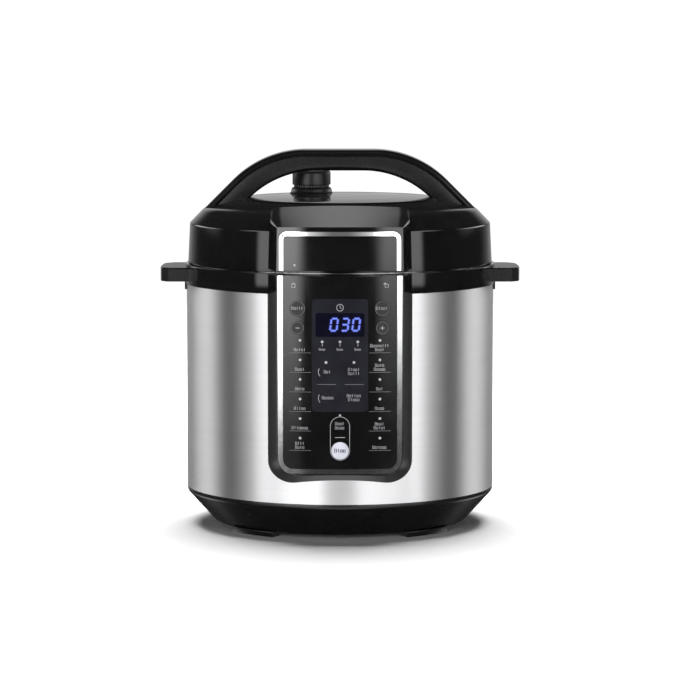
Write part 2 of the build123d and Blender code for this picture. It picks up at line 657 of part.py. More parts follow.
with BuildPart() as lid_cover:
    for z, front_half, root_half, back_half in BLOCK_SECTIONS:
        with BuildSketch(Plane.XY.offset(z)):
            with BuildLine():
                Polyline(
                    (-front_half, -156), (-root_half, PANEL_ROOT_Y), (-back_half, RAMP_BACK_Y),
                    (back_half, RAMP_BACK_Y), (root_half, PANEL_ROOT_Y), (front_half, -156), close=True,
                )
            make_face()
    loft(ruled=True)
    with Locations((0, FACE_AXIS_Y, 200)):
        Cylinder(FACE_R, FAR, mode=Mode.INTERSECT)
    with BuildSketch(Plane.YZ):
        with BuildLine():
            Polyline(
                (-170, LID_BLOCK_Z1 - 20 * (RAMP_BACK_Z - LID_BLOCK_Z1) / (RAMP_BACK_Y - FACE_Y)),
                (RAMP_BACK_Y, RAMP_BACK_Z), (-60, RAMP_BACK_Z), (-60, 320), (-170, 320), close=True,
            )
        make_face()
    extrude(amount=100, both=True, mode=Mode.SUBTRACT)
    fillet(
        [edge for edge in edges().group_by(Axis.Z)[-1] + edges().group_by(Axis.Z)[-2] + edges().group_by(Axis.Z)[-3]
         if abs(edge.center().X) > 50 and edge.center().Z > LID_BLOCK_Z1],
        BLOCK_EDGE_R,
    )
    add(cover_outside.part)
    add(lid_ring_pocket.part, mode=Mode.SUBTRACT)
    add(cover_inside.part, mode=Mode.SUBTRACT)
    with BuildSketch(Plane.XY.offset(INNER_LID_Z1)):
        Circle(127)
        Circle(124.5, mode=Mode.SUBTRACT)
        with PolarLocations(60, 3, start_angle=30):
            Circle(4)
    extrude(until=Until.NEXT)
    with BuildSketch(Plane.XY.offset(INNER_LID_Z1)):
        with PolarLocations(60, 3, start_angle=30):
            Circle(1.5)
    extrude(amount=16, mode=Mode.SUBTRACT)
    with BuildSketch(Plane.XY.offset(INNER_LID_Z1)):
        with Locations((VALVE_X, VALVE_Y)):
            Circle(PIPE_R + FIT)
        with Locations((FLOAT_X, FLOAT_Y)):
            Circle(4)
    extrude(amount=60, mode=Mode.SUBTRACT)
finish(lid_cover, "lid_cover")

with BuildPart() as lid_plate:
    with BuildSketch(Plane.XZ.offset(160)):
        n_outline(LID_RING_HALF - LID_RING_W - FIT, LID_RING_Z1 - LID_RING_W - FIT, 3)
    extrude(amount=-70)
    curve_to_face(0, 2)
finish(lid_plate, "lid_plate")

with BuildPart() as lid_trim:
    with BuildSketch(Plane.XZ.offset(160)):
        n_outline(LID_RING_HALF - FIT, LID_RING_Z1 - FIT, LID_RING_CORNER)
        with Locations((0, (LID_RING_Z1 - LID_RING_W + 150) / 2)):
            RectangleRounded(
                2 * (LID_RING_HALF - LID_RING_W), LID_RING_Z1 - LID_RING_W - 150, 3, mode=Mode.SUBTRACT
            )
    extrude(amount=-70)
    curve_to_face(-RING_PROUD, 2)
finish(lid_trim, "lid_trim")

with BuildPart() as inner_lid:
    with BuildSketch(Plane.XZ):
        with BuildLine():
            Polyline(
                (0, INNER_LID_Z0), (SEAL_R + SEAL_FIT, INNER_LID_Z0), (SEAL_R + SEAL_FIT, 230.2),
                (SEAL_R + 1.4, 230.2), (SEAL_R + 1.4, INNER_LID_Z0), (SKIRT_R - SKIRT_T, INNER_LID_Z0),
                (SKIRT_R - SKIRT_T, SKIRT_Z0), (SKIRT_R, SKIRT_Z0), (SKIRT_R, INNER_LID_Z1),
                (0, INNER_LID_Z1), close=True,
            )
        make_face()
    revolve(axis=Axis.Z)
    with BuildSketch(Plane.XY.offset(SKIRT_Z0)):
        Circle(SKIRT_R - 0.5)
        Circle(LUG_R, mode=Mode.SUBTRACT)
        for lug in range(LUG_COUNT):
            turn = radians(lug * 360 / LUG_COUNT)
            wide = radians(360 / LUG_COUNT - LUG_ANGLE) / 2
            Polygon(
                (0, 0), (200 * cos(turn - wide), 200 * sin(turn - wide)),
                (200 * cos(turn + wide), 200 * sin(turn + wide)), align=None, mode=Mode.SUBTRACT,
            )
    extrude(amount=LUG_TOP - SKIRT_Z0)
    with BuildSketch(Plane.XY.offset(INNER_LID_Z0 - 1)):
        with PolarLocations(60, 3, start_angle=30):
            Circle(1.55)
        with Locations((VALVE_X, VALVE_Y)):
            Circle(PIPE_R + FIT)
        with Locations((FLOAT_X, FLOAT_Y)):
            Circle(2.58)
    extrude(amount=4, mode=Mode.SUBTRACT)
finish(inner_lid, "inner_lid")

with BuildPart() as lid_screws:
    with BuildSketch(Plane.XY.offset(INNER_LID_Z0 - 2)):
        with PolarLocations(60, 3, start_angle=30):
            Circle(3.2)
    extrude(amount=2)
    with BuildSketch(Plane.XY.offset(INNER_LID_Z0 - 1)):
        with PolarLocations(60, 3, start_angle=30):
            Circle(1.48)
    extrude(amount=16)
finish(lid_screws, "lid_screws")

with BuildPart() as sealing_ring:
    with BuildSketch(Plane.XZ):
        with BuildLine():
            Polyline(
                (SEAL_R, SEAL_Z1), (SEAL_R, SEAL_Z0 + 2), (SEAL_R - 2, SEAL_Z0), (SEAL_IN_R + 1, SEAL_Z0),
                (SEAL_IN_R, SEAL_Z0 + 2), (SEAL_IN_R, SEAL_Z0 + 4), (SEAL_R - 4, SEAL_Z0 + 3.5),
                (SEAL_R - 4, SEAL_Z1 - 3.5), (SEAL_IN_R + 1, SEAL_Z1 - 3), (SEAL_IN_R + 1, SEAL_Z1),
                close=True,
            )
        make_face()
    revolve(axis=Axis.Z)
finish(sealing_ring, "sealing_ring")

with BuildPart() as gasket_rack:
    with Locations((0, 0, INNER_LID_Z0 - 1.2)):
        Torus(106.3, 1.2)
finish(gasket_rack, "gasket_rack")

with BuildPart() as steam_pipe:
    with BuildSketch(Plane.XY.offset(226)):
        with Locations((VALVE_X, VALVE_Y)):
            Circle(PIPE_R)
            Circle(PIPE_R - 2, mode=Mode.SUBTRACT)
    extrude(amount=PIPE_TOP - 226)
finish(steam_pipe, "steam_pipe")

with BuildPart() as pipe_nut:
    with BuildSketch(Plane.XY.offset(INNER_LID_Z0 - 4)):
        with Locations((VALVE_X, VALVE_Y)):
            RegularPolygon(8, 6)
            Circle(PIPE_R + 0.02, mode=Mode.SUBTRACT)
    extrude(amount=4)
finish(pipe_nut, "pipe_nut")

SHIELD_R = 13.0
with BuildPart() as filter_shield:
    with BuildSketch(Plane.XY.offset(224)):
        with Locations((VALVE_X, VALVE_Y)):
            Circle(SHIELD_R)
    extrude(amount=11)
    with BuildSketch(Plane.XY.offset(INNER_LID_Z0 - 4.5)):
        with Locations((VALVE_X, VALVE_Y)):
            Circle(SHIELD_R - 1.2)
            Circle(PIPE_R + 0.02)
    extrude(amount=-9.3, mode=Mode.SUBTRACT)
    with BuildSketch(Plane.XY.offset(INNER_LID_Z0 - 4.5)):
        with Locations((VALVE_X, VALVE_Y)):
            Circle(SHIELD_R - 1)
            Circle(PIPE_R + 0.02, mode=Mode.SUBTRACT)
    extrude(amount=-1.2)
    with BuildSketch(Plane.XY.offset(226.5)):
        with Locations((VALVE_X, VALVE_Y)):
            with PolarLocations(SHIELD_R - 0.6, 10):
                Rectangle(4, 2.4)
    extrude(amount=6, mode=Mode.SUBTRACT)
finish(filter_shield, "filter_shield")

with BuildPart() as valve_surround:
    with BuildSketch(Plane.XY.offset(SURROUND_Z0)):
        with Locations((VALVE_X, VALVE_Y)):
            Circle(SURROUND_R)
    extrude(amount=SURROUND_TOP - SURROUND_Z0, taper=10)
    with BuildSketch(Plane.XY.offset(280)):
        with Locations((VALVE_X, VALVE_Y)):
            Circle(12)
    extrude(amount=30, mode=Mode.SUBTRACT)
    add(cover_outside.part, mode=Mode.SUBTRACT)
finish(valve_surround, "valve_surround")

with BuildPart() as valve_knob:
    with BuildSketch(Plane.XY.offset(KNOB_SKIRT_Z)):
        with Locations((VALVE_X, VALVE_Y)):
            Circle(KNOB_R)
    extrude(amount=KNOB_Z1 - KNOB_SKIRT_Z)
    fillet(edges().group_by(Axis.Z)[-1], 2.5)
    with BuildSketch(Plane.XY.offset(KNOB_Z0)):
        with Locations((VALVE_X, VALVE_Y)):
            Circle(KNOB_NECK_R)
            with PolarLocations(KNOB_NECK_R, KNOB_RIBS):
                Rectangle(1.6, 1.2)
    extrude(amount=KNOB_SKIRT_Z - KNOB_Z0 + 0.5)
    with BuildSketch(Plane.XY.offset(KNOB_Z0 - 1)):
        with Locations((VALVE_X, VALVE_Y)):
            Circle(WEIGHT_R)
    extrude(amount=WEIGHT_TOP - KNOB_Z0 + 1, mode=Mode.SUBTRACT)
finish(valve_knob, "valve_knob")

with BuildPart() as valve_weight:
    with BuildSketch(Plane.XY.offset(KNOB_Z0 + 0.4)):
        with Locations((VALVE_X, VALVE_Y)):
            Circle(WEIGHT_R)
    extrude(amount=WEIGHT_TOP - KNOB_Z0 - 0.4)
    with BuildSketch(Plane.XY.offset(KNOB_Z0)):
        with Locations((VALVE_X, VALVE_Y)):
            Circle(PIPE_R + 0.08)
    extrude(amount=PIPE_TOP + 0.3 - KNOB_Z0, mode=Mode.SUBTRACT)
finish(valve_weight, "valve_weight")

with BuildPart() as float_pin:
    with BuildSketch(Plane.XY.offset(229)):
        with Locations((FLOAT_X, FLOAT_Y)):
            Circle(5)
    extrude(amount=1.5)
    with BuildSketch(Plane.XY.offset(230)):
        with Locations((FLOAT_X, FLOAT_Y)):
            Circle(2.5)
    extrude(amount=61)
    chamfer(edges().group_by(Axis.Z)[-1], 0.4)
finish(float_pin, "float_pin")

with BuildPart() as float_seal:
    with BuildSketch(Plane.XY.offset(230.5)):
        with Locations((FLOAT_X, FLOAT_Y)):
            Circle(4.6)
            Circle(2.5, mode=Mode.SUBTRACT)
    extrude(amount=1.5)
finish(float_seal, "float_seal")

# ---------------------------------------------------------------- lid handle
def arch_half(side, top, flat, radius, drop):
    """One side of an arch line: flat top, 45 degree bend, then a straight slope down by drop."""
    bend = radius * sin(radians(45))
    middle = flat + radius * sin(radians(22.5)), top - radius + radius * cos(radians(22.5))
    end = flat + bend, top - radius + bend
    Line((0, top), (side * flat, top))
    ThreePointArc((side * flat, top), (side * middle[0], middle[1]), (side * end[0], end[1]))
    Line((side * end[0], end[1]), (side * (end[0] + drop), end[1] - drop))
    return side * (end[0] + drop), end[1] - drop


with BuildPart() as handle_cap:
    with BuildSketch(Plane.XZ):
        with BuildLine():
            for side in (-1, 1):
                outer_end = arch_half(side, ARCH_TOP, ARCH_FLAT, ARCH_R, ARCH_DROP)
                inner_end = arch_half(side, ARCH_TOP - CAP_T, ARCH_FLAT, ARCH_R - CAP_T, ARCH_DROP)
                Line(outer_end, inner_end)
        make_face()
    extrude(amount=ARCH_DEPTH / 2, both=True)
    add(cover_outside.part, mode=Mode.SUBTRACT)
finish(handle_cap, "handle_cap")

with BuildPart() as handle_grip:
    with BuildSketch(Plane.XZ):
        with BuildLine():
            for side in (-1, 1):
                outer_end = arch_half(side, ARCH_TOP - CAP_T, ARCH_FLAT, ARCH_R - CAP_T, ARCH_DROP)
                foot = side * ARCH_FOOT, ARCH_IN_TOP - ARCH_IN_R + sqrt(
                    ARCH_IN_R**2 - (ARCH_FOOT - ARCH_IN_FLAT) ** 2
                )
                turn = radians(25)
                Line((0, ARCH_IN_TOP), (side * ARCH_IN_FLAT, ARCH_IN_TOP))
                ThreePointArc(
                    (side * ARCH_IN_FLAT, ARCH_IN_TOP),
                    (
                        side * (ARCH_IN_FLAT + ARCH_IN_R * sin(turn)),
                        ARCH_IN_TOP - ARCH_IN_R + ARCH_IN_R * cos(turn),
                    ),
                    foot,
                )
                Polyline(foot, (foot[0], outer_end[1]), outer_end)
        make_face()
    extrude(amount=ARCH_DEPTH / 2, both=True)
    add(cover_outside.part, mode=Mode.SUBTRACT)
finish(handle_grip, "handle_grip")
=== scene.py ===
import bpy
import bmesh
import json
import random
from math import acos, asin, cos, hypot, pi, radians, sin, sqrt, tan
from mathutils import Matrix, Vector


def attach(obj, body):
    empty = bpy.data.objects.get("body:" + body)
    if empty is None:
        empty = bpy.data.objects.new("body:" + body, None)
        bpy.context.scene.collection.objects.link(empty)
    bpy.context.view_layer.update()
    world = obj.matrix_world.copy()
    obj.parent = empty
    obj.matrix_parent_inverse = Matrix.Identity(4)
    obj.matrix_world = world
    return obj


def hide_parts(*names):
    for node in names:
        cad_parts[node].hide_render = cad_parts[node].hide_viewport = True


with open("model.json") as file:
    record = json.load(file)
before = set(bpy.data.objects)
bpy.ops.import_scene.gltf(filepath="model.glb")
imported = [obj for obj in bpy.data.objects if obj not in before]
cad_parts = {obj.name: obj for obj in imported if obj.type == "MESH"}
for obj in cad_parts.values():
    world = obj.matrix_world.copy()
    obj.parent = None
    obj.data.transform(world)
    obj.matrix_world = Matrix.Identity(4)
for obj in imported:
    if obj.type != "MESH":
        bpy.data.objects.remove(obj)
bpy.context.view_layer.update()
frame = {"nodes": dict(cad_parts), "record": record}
NODES = frame["nodes"]
MM = 0.001
WELD = 1e-7
random.seed(7)


# ------------------------------------------------------------------ camera and studio
LENS, SENSOR = 182.3, 36
CAMERA_PLACE, CAMERA_AIM = Vector((0, -3.087, 0.475)), Vector((0, 0, 0.1641))


def make_camera():
    data = bpy.data.cameras.new("camera")
    data.lens = LENS
    data.sensor_width = SENSOR
    camera = bpy.data.objects.new("camera", data)
    camera.location = CAMERA_PLACE
    aim = CAMERA_AIM - CAMERA_PLACE
    camera.rotation_euler = aim.to_track_quat("-Z", "Y").to_euler()
    bpy.context.scene.collection.objects.link(camera)
    bpy.context.scene.camera = camera


# name, place, what it points at, side of the square, watts
LAMPS = (
    ("overhead", (0, 0.55, 1.8), (0, 0, 0), 1.75, 84),
    ("front_left", (-1.0, -2.0, 0.42), (0, 0, 0.17), 0.8, 15),
    ("front_right", (1.0, -2.0, 0.42), (0, 0, 0.17), 0.8, 9),
)


def area_light(name, place, aim, side, watts):
    """A lamp that reflections don't show; the world is what they show."""
    data = bpy.data.lights.new(name, "AREA")
    data.shape = "SQUARE"
    data.size = side
    data.energy = watts
    light = bpy.data.objects.new(name, data)
    light.location = place
    light.rotation_euler = (Vector(aim) - Vector(place)).to_track_quat("-Z", "Y").to_euler()
    light.visible_glossy = False
    bpy.context.scene.collection.objects.link(light)


def node_math(tree, kind, a, b=None):
    """A math node whose inputs are sockets or numbers; returns its output."""
    node = tree.nodes.new("ShaderNodeMath")
    node.operation = kind
    for i, value in enumerate((a, b)):
        if value is None:
            continue
        if isinstance(value, (int, float)):
            node.inputs[i].default_value = value
        else:
            tree.links.new(value, node.inputs[i])
    return node.outputs[0]


def soft_step(tree, value, low, high):
    """0 below low and 1 above high, with a smooth change between."""
    node = tree.nodes.new("ShaderNodeMapRange")
    node.interpolation_type = "SMOOTHSTEP"
    tree.links.new(value, node.inputs["Value"])
    node.inputs["From Min"].default_value = min(low, high)
    node.inputs["From Max"].default_value = max(low, high)
    if low > high:
        node.inputs["To Min"].default_value = 1
        node.inputs["To Max"].default_value = 0
    return node.outputs["Result"]


def product(tree, *values):
    """The values multiplied together."""
    total = values[0]
    for value in values[1:]:
        total = node_math(tree, "MULTIPLY", total, value)
    return total


def window(tree, value, edges):
    """1 between the middle two of four angles in degrees, fading to 0 at the outer two."""
    start, full, fade, end = [radians(edge) for edge in edges]
    return product(tree, soft_step(tree, value, start, full), soft_step(tree, value, end, fade))


# What gloss and metal reflect. Each row has a patch's azimuths from the front, its heights above
# the horizon (both in degrees: start, full, fade, end) and its radiance on the left and the right.
PATCHES = (
    ((11, 16, 40, 56), (-7.8, -3.5, 1, 10), 6.2, 0.0),
    ((11, 16, 40, 56), (-7.0, -2.8, 3, 14), 0.0, 4.2),
    ((51, 54, 62, 67), (-8.2, -4.5, 6, 12), 2.8, 2.8),
    ((40, 54, 74, 88), (5, 10, 26, 40), 2.7, 2.7),
    ((-20, -10, 4, 18), (5, 12, 34, 50), 0.2, 0.2),
    ((-2, -1, 16, 18), (-2.5, 0, 5, 12), 0.12, 0.12),
    ((2, 16, 17, 18), (-2.5, 0, 5, 12), 0.9, 0.8),
    ((14, 24, 44, 58), (5, 10, 22, 36), 0.0, 0.8),
    ((98, 118, 132, 156), (-1, 6, 12, 20), 3.2, 3.2),
    ((98, 118, 132, 156), (-40, -30, -20, -11), 1.7, 1.7),
    ((150, 170, 181, 182), (0.5, 2, 14, 24), 0.5, 0.5),
    ((173.5, 179.6, 181, 182), (22, 36, 58, 70), 0.95, 0.95),
    ((130, 165, 181, 182), (-10, -8, 0, 3), 0.35, 0.35),
    ((-2, -1, 8, 36), (-50, -36, -14, -8.6), 1.5, 1.5),
)
AMBIENT, OPEN_WHITE = 0.03, 1.05
SIDE_BLEND = radians(8)


def make_world():
    """The patches over a dim room for reflections, and plain white straight to the camera."""
    world = bpy.data.worlds.new("studio")
    bpy.context.scene.world = world
    world.use_nodes = True
    world.cycles_visibility.diffuse = False
    tree = world.node_tree
    background = tree.nodes["Background"]
    place = tree.nodes.new("ShaderNodeTexCoord")
    split = tree.nodes.new("ShaderNodeSeparateXYZ")
    tree.links.new(place.outputs["Generated"], split.inputs[0])
    x, y, z = split.outputs
    turn = node_math(tree, "ARCTAN2", x, node_math(tree, "MULTIPLY", y, -1))
    azimuth = node_math(tree, "ABSOLUTE", turn)
    height = node_math(tree, "ARCSINE", z)
    on_left = soft_step(tree, turn, SIDE_BLEND, -SIDE_BLEND)
    room = AMBIENT
    for across, up, left, right in PATCHES:
        level = node_math(tree, "ADD", node_math(tree, "MULTIPLY", on_left, left - right), right)
        patch = product(tree, window(tree, azimuth, across), window(tree, height, up), level)
        room = node_math(tree, "ADD", patch, room)
    ray = tree.nodes.new("ShaderNodeLightPath")
    open_white = node_math(tree, "MULTIPLY", ray.outputs["Is Camera Ray"], OPEN_WHITE)
    seen = node_math(tree, "MAXIMUM", room, open_white)
    background.inputs["Color"].default_value = (1, 1, 1, 1)
    tree.links.new(seen, background.inputs["Strength"])


FLOOR_R, LIT_R, WHITE_R = 2.2, 0.28, 0.75


def make_floor():
    """A pale disc: lit near the object, evenly white further out, absent from reflections."""
    mesh = bpy.data.meshes.new("floor")
    bm = bmesh.new()
    bmesh.ops.create_circle(bm, cap_ends=True, segments=96, radius=FLOOR_R)
    bm.to_mesh(mesh)
    bm.free()
    floor = bpy.data.objects.new("floor", mesh)
    bpy.context.scene.collection.objects.link(floor)
    floor.visible_glossy = False
    look = bpy.data.materials.new("floor")
    look.use_nodes = True
    tree = look.node_tree
    shader = tree.nodes["Principled BSDF"]
    shader.inputs["Base Color"].default_value = (0.93, 0.93, 0.93, 1)
    shader.inputs["Roughness"].default_value = 0.9
    shader.inputs["Specular IOR Level"].default_value = 0
    place = tree.nodes.new("ShaderNodeTexCoord")
    reach = tree.nodes.new("ShaderNodeVectorMath")
    reach.operation = "LENGTH"
    tree.links.new(place.outputs["Object"], reach.inputs[0])
    shader.inputs["Emission Color"].default_value = (1, 1, 1, 1)
    outer_glow = soft_step(tree, reach.outputs["Value"], LIT_R, WHITE_R)
    tree.links.new(outer_glow, shader.inputs["Emission Strength"])
    mesh.materials.append(look)


# ------------------------------------------------------------------ materials
def link_noise(tree, scale, detail, stretch=(1, 1, 1)):
    """Noise in object space, in features per metre, squeezed along the axes by stretch."""
    place = tree.nodes.new("ShaderNodeTexCoord")
    mapping = tree.nodes.new("ShaderNodeMapping")
    mapping.inputs["Scale"].default_value = stretch
    noise = tree.nodes.new("ShaderNodeTexNoise")
    noise.inputs["Scale"].default_value = scale
    noise.inputs["Detail"].default_value = detail
    tree.links.new(place.outputs["Object"], mapping.inputs["Vector"])
    tree.links.new(mapping.outputs["Vector"], noise.inputs["Vector"])
    return noise.outputs["Fac"]


def spread(tree, value, low, high):
    """Maps a noise value of 0.3 to 0.7 onto low to high."""
    node = tree.nodes.new("ShaderNodeMapRange")
    node.inputs["From Min"].default_value = 0.3
    node.inputs["From Max"].default_value = 0.7
    node.inputs["To Min"].default_value = low
    node.inputs["To Max"].default_value = high
    tree.links.new(value, node.inputs["Value"])
    return node.outputs["Result"]


def add_bump(tree, shader, height, strength, distance):
    """Raises the surface by the height signal, over a distance in metres."""
    bump = tree.nodes.new("ShaderNodeBump")
    bump.inputs["Strength"].default_value = strength
    bump.inputs["Distance"].default_value = distance
    tree.links.new(height, bump.inputs["Height"])
    tree.links.new(bump.outputs["Normal"], shader.inputs["Normal"])


def new_material(name, colour, metallic=0.0, ior=1.5, **sockets):
    material = bpy.data.materials.new(name)
    material.use_nodes = True
    shader = material.node_tree.nodes["Principled BSDF"]
    shader.inputs["Base Color"].default_value = (*colour, 1)
    shader.inputs["Metallic"].default_value = metallic
    shader.inputs["IOR"].default_value = ior
    for socket, value in sockets.items():
        shader.inputs[socket.replace("_", " ")].default_value = value
    material.diffuse_color = (*colour, 1)
    return material, material.node_tree, shader


def mix_colours(tree, shader, colour, change, factor):
    """Varies the base colour by the fraction change, up and down, following a 0 to 1 factor."""
    mix = tree.nodes.new("ShaderNodeMix")
    mix.data_type = "RGBA"
    mix.inputs["A"].default_value = (*[c * (1 - change) for c in colour], 1)
    mix.inputs["B"].default_value = (*[min(1, c * (1 + change)) for c in colour], 1)
    tree.links.new(factor, mix.inputs["Factor"])
    tree.links.new(mix.outputs["Result"], shader.inputs["Base Color"])


def plastic(name, colour, rough, spread_by=0.03, grain=900, bump=0.05):
    """Moulded plastic: fine grain in the bump, broad drift in the roughness and colour."""
    material, tree, shader = new_material(name, colour)
    drift = link_noise(tree, 28, 4)
    tree.links.new(spread(tree, drift, rough - spread_by, rough + spread_by), shader.inputs["Roughness"])
    add_bump(tree, shader, link_noise(tree, grain, 3), bump, 0.0002)
    mix_colours(tree, shader, colour, 0.2, spread(tree, link_noise(tree, 60, 5), 0, 1))
    return material


def brushed(name, colour, rough, streak=2600, anisotropy=0.75, contrast=0.015):
    """Brushed metal: long fine scratches in colour, roughness and bump, round the Z axis."""
    material, tree, shader = new_material(
        name, colour, metallic=1.0, Anisotropic=anisotropy, Anisotropic_Rotation=0.25,
    )
    stretch = 0.012, 0.012, 1.0
    fine = link_noise(tree, streak, 6, stretch)
    broad = link_noise(tree, streak / 7, 3, stretch)
    tree.links.new(spread(tree, fine, rough - 0.04, rough + 0.04), shader.inputs["Roughness"])
    add_bump(tree, shader, fine, 0.06, 0.00005)
    mix_colours(tree, shader, colour, contrast, spread(tree, broad, 0, 1))
    tangent = tree.nodes.new("ShaderNodeTangent")
    tangent.direction_type = "RADIAL"
    tangent.axis = "Z"
    tree.links.new(tangent.outputs["Tangent"], shader.inputs["Tangent"])
    return material


def polished(name, colour, rough, grain=500):
    """Plated or polished metal with faint waviness and fine wear in its roughness."""
    material, tree, shader = new_material(name, colour, metallic=1.0)
    wear = spread(tree, link_noise(tree, 180, 6), rough * 0.9, rough * 1.15)
    tree.links.new(wear, shader.inputs["Roughness"])
    add_bump(tree, shader, link_noise(tree, grain, 2), 0.006, 0.00001)
    return material


def glowing(name, colour, strength):
    """A lit segment, faintly uneven."""
    material, tree, shader = new_material(name, (0.02, 0.02, 0.05))
    shader.inputs["Emission Color"].default_value = (*colour, 1)
    level = spread(tree, link_noise(tree, 800, 2), strength * 0.9, strength * 1.1)
    tree.links.new(level, shader.inputs["Emission Strength"])
    shader.inputs["Roughness"].default_value = 0.25
    return material


def clear(name, colour, rough):
    """Clear plastic with uneven gloss."""
    material, tree, shader = new_material(name, colour, ior=1.46)
    shader.inputs["Transmission Weight"].default_value = 0.85
    haze = spread(tree, link_noise(tree, 40, 3), rough * 0.7, rough * 1.3)
    tree.links.new(haze, shader.inputs["Roughness"])
    add_bump(tree, shader, link_noise(tree, 300, 2), 0.04, 0.0002)
    return material


LOOKS = {
    "gloss_black": plastic("gloss_black", (0.005, 0.005, 0.0052), 0.07, 0.02, grain=260, bump=0.006),
    "satin_black": plastic("satin_black", (0.006, 0.006, 0.006), 0.27, 0.02, grain=2600, bump=0.008),
    "matte_black": plastic("matte_black", (0.014, 0.014, 0.014), 0.55, 0.06, grain=1700, bump=0.16),
    "rubber_black": plastic("rubber_black", (0.013, 0.013, 0.013), 0.75, 0.05, grain=1200, bump=0.2),
    "brushed_steel": brushed("brushed_steel", (0.80, 0.80, 0.81), 0.36),
    "inner_steel": brushed("inner_steel", (0.74, 0.74, 0.74), 0.24, streak=1800, contrast=0.03),
    "aluminium_cast": brushed("aluminium_cast", (0.66, 0.66, 0.66), 0.42, streak=900, anisotropy=0.3),
    "steel_small": polished("steel_small", (0.6, 0.6, 0.6), 0.25),
    "chrome": polished("chrome", (0.86, 0.87, 0.88), 0.07),
    "brass_pins": polished("brass_pins", (0.72, 0.55, 0.25), 0.22),
    "matte_white": plastic("matte_white", (0.72, 0.72, 0.69), 0.5, 0.06, grain=1200, bump=0.1),
    "board_green": plastic("board_green", (0.01, 0.10, 0.035), 0.42, 0.08, grain=700, bump=0.15),
    "cable_grey": plastic("cable_grey", (0.3, 0.3, 0.31), 0.5, 0.05, grain=1500, bump=0.1),
    "display_glow": plastic("display_glow", (0.01, 0.012, 0.04), 0.4, 0.05, grain=900, bump=0.05),
    "panel_black": plastic("panel_black", (0.005, 0.005, 0.0055), 0.085, 0.02, grain=240, bump=0.006),
    "panel_blue_black": plastic(
        "panel_blue_black", (0.016, 0.016, 0.022), 0.10, 0.02, grain=240, bump=0.006),
    "window_black": plastic("window_black", (0.004, 0.004, 0.012), 0.06, 0.015, grain=200, bump=0.004),
    "lens_white": plastic("lens_white", (0.45, 0.45, 0.46), 0.35, 0.05, grain=900, bump=0.05),
    "clear_plastic": clear("clear_plastic", (0.86, 0.87, 0.88), 0.12),
    "silicone": plastic("silicone", (0.66, 0.66, 0.64), 0.45, 0.06, grain=900, bump=0.08),
    "button_silver": plastic("button_silver", (0.66, 0.67, 0.75), 0.35, 0.04, grain=1500, bump=0.05),
}
KNOB_BLACK = plastic("knob_black", (0.010, 0.010, 0.010), 0.4, 0.03, grain=2200, bump=0.02)
BASE_BLACK = plastic("base_black", (0.006, 0.006, 0.006), 0.26, 0.02, grain=900, bump=0.006)
HOUSING_BLACK = plastic("housing_black", (0.005, 0.005, 0.005), 0.14, 0.02, grain=900, bump=0.006)
ROUND_KEY = plastic("round_key", (0.005, 0.005, 0.0055), 0.42, 0.03, grain=1500, bump=0.02)
PRINT_GREY = plastic("print_grey", (0.50, 0.50, 0.52), 0.5, 0.05, grain=1500, bump=0.03)
PRINT_DIM = plastic("print_dim", (0.15, 0.15, 0.16), 0.5, 0.05, grain=1500, bump=0.03)
DIGIT_BLUE = glowing("digit_blue", (0.17, 0.25, 1.0), 1.15)
DIGIT_HALO = glowing("digit_halo", (0.03, 0.09, 1.0), 0.2)
SLOT_OF = {row["node"]: row["material_slot"] for row in frame["record"]["subparts"]}


# ------------------------------------------------------------------ mesh helpers, sizes in mm
def soften(mesh, limit=32):
    """Smooth shading, kept sharp along edges that turn by more than limit degrees."""
    bm = bmesh.new()
    bm.from_mesh(mesh)
    for face in bm.faces:
        face.smooth = True
    for edge in bm.edges:
        edge.smooth = len(edge.link_faces) == 2 and edge.calc_face_angle(0) < radians(limit)
    bm.to_mesh(mesh)
    bm.free()


def add_bevel(obj, width, segments, limit):
    """Rounds the edges that turn by more than limit degrees, over a width in mm."""
    bevel = obj.modifiers.new("edge", "BEVEL")
    bevel.width = width * MM
    bevel.segments = segments
    bevel.limit_method = "ANGLE"
    bevel.angle_limit = radians(limit)
    bevel.use_clamp_overlap = True
    bevel.harden_normals = True


def new_piece(name, bm, look, body, replaces=(), limit=32):
    """Turns the mesh into an object on a body, in place of the CAD nodes it replaces."""
    bmesh.ops.remove_doubles(bm, verts=bm.verts, dist=WELD)
    bmesh.ops.recalc_face_normals(bm, faces=bm.faces)
    mesh = bpy.data.meshes.new(name)
    bm.to_mesh(mesh)
    bm.free()
    soften(mesh, limit)
    mesh.materials.append(look)
    obj = bpy.data.objects.new(name, mesh)
    bpy.context.scene.collection.objects.link(obj)
    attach(obj, body)
    if replaces:
        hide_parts(*replaces)
    return obj


def rounded(points, radii, steps=7):
    """The outline with each corner turned into an arc of its radius, where it has one."""
    result = []
    count = len(points)
    for i, (point, radius) in enumerate(zip(points, radii)):
        if radius <= 0:
            result.append(tuple(point))
            continue
        here = Vector(point)
        back = (Vector(points[i - 1]) - here).normalized()
        ahead = (Vector(points[(i + 1) % count]) - here).normalized()
        half = acos(max(-1, min(1, back.dot(ahead)))) / 2
        reach = radius / tan(half)
        middle = here + (back + ahead).normalized() * (radius / sin(half))
        start, end = here + back * reach - middle, here + ahead * reach - middle
        sweep = start.angle_signed(end)
        for step in range(steps + 1):
            turn = -sweep * step / steps
            result.append((
                middle.x + start.x * cos(turn) - start.y * sin(turn),
                middle.y + start.x * sin(turn) + start.y * cos(turn),
            ))
    return result


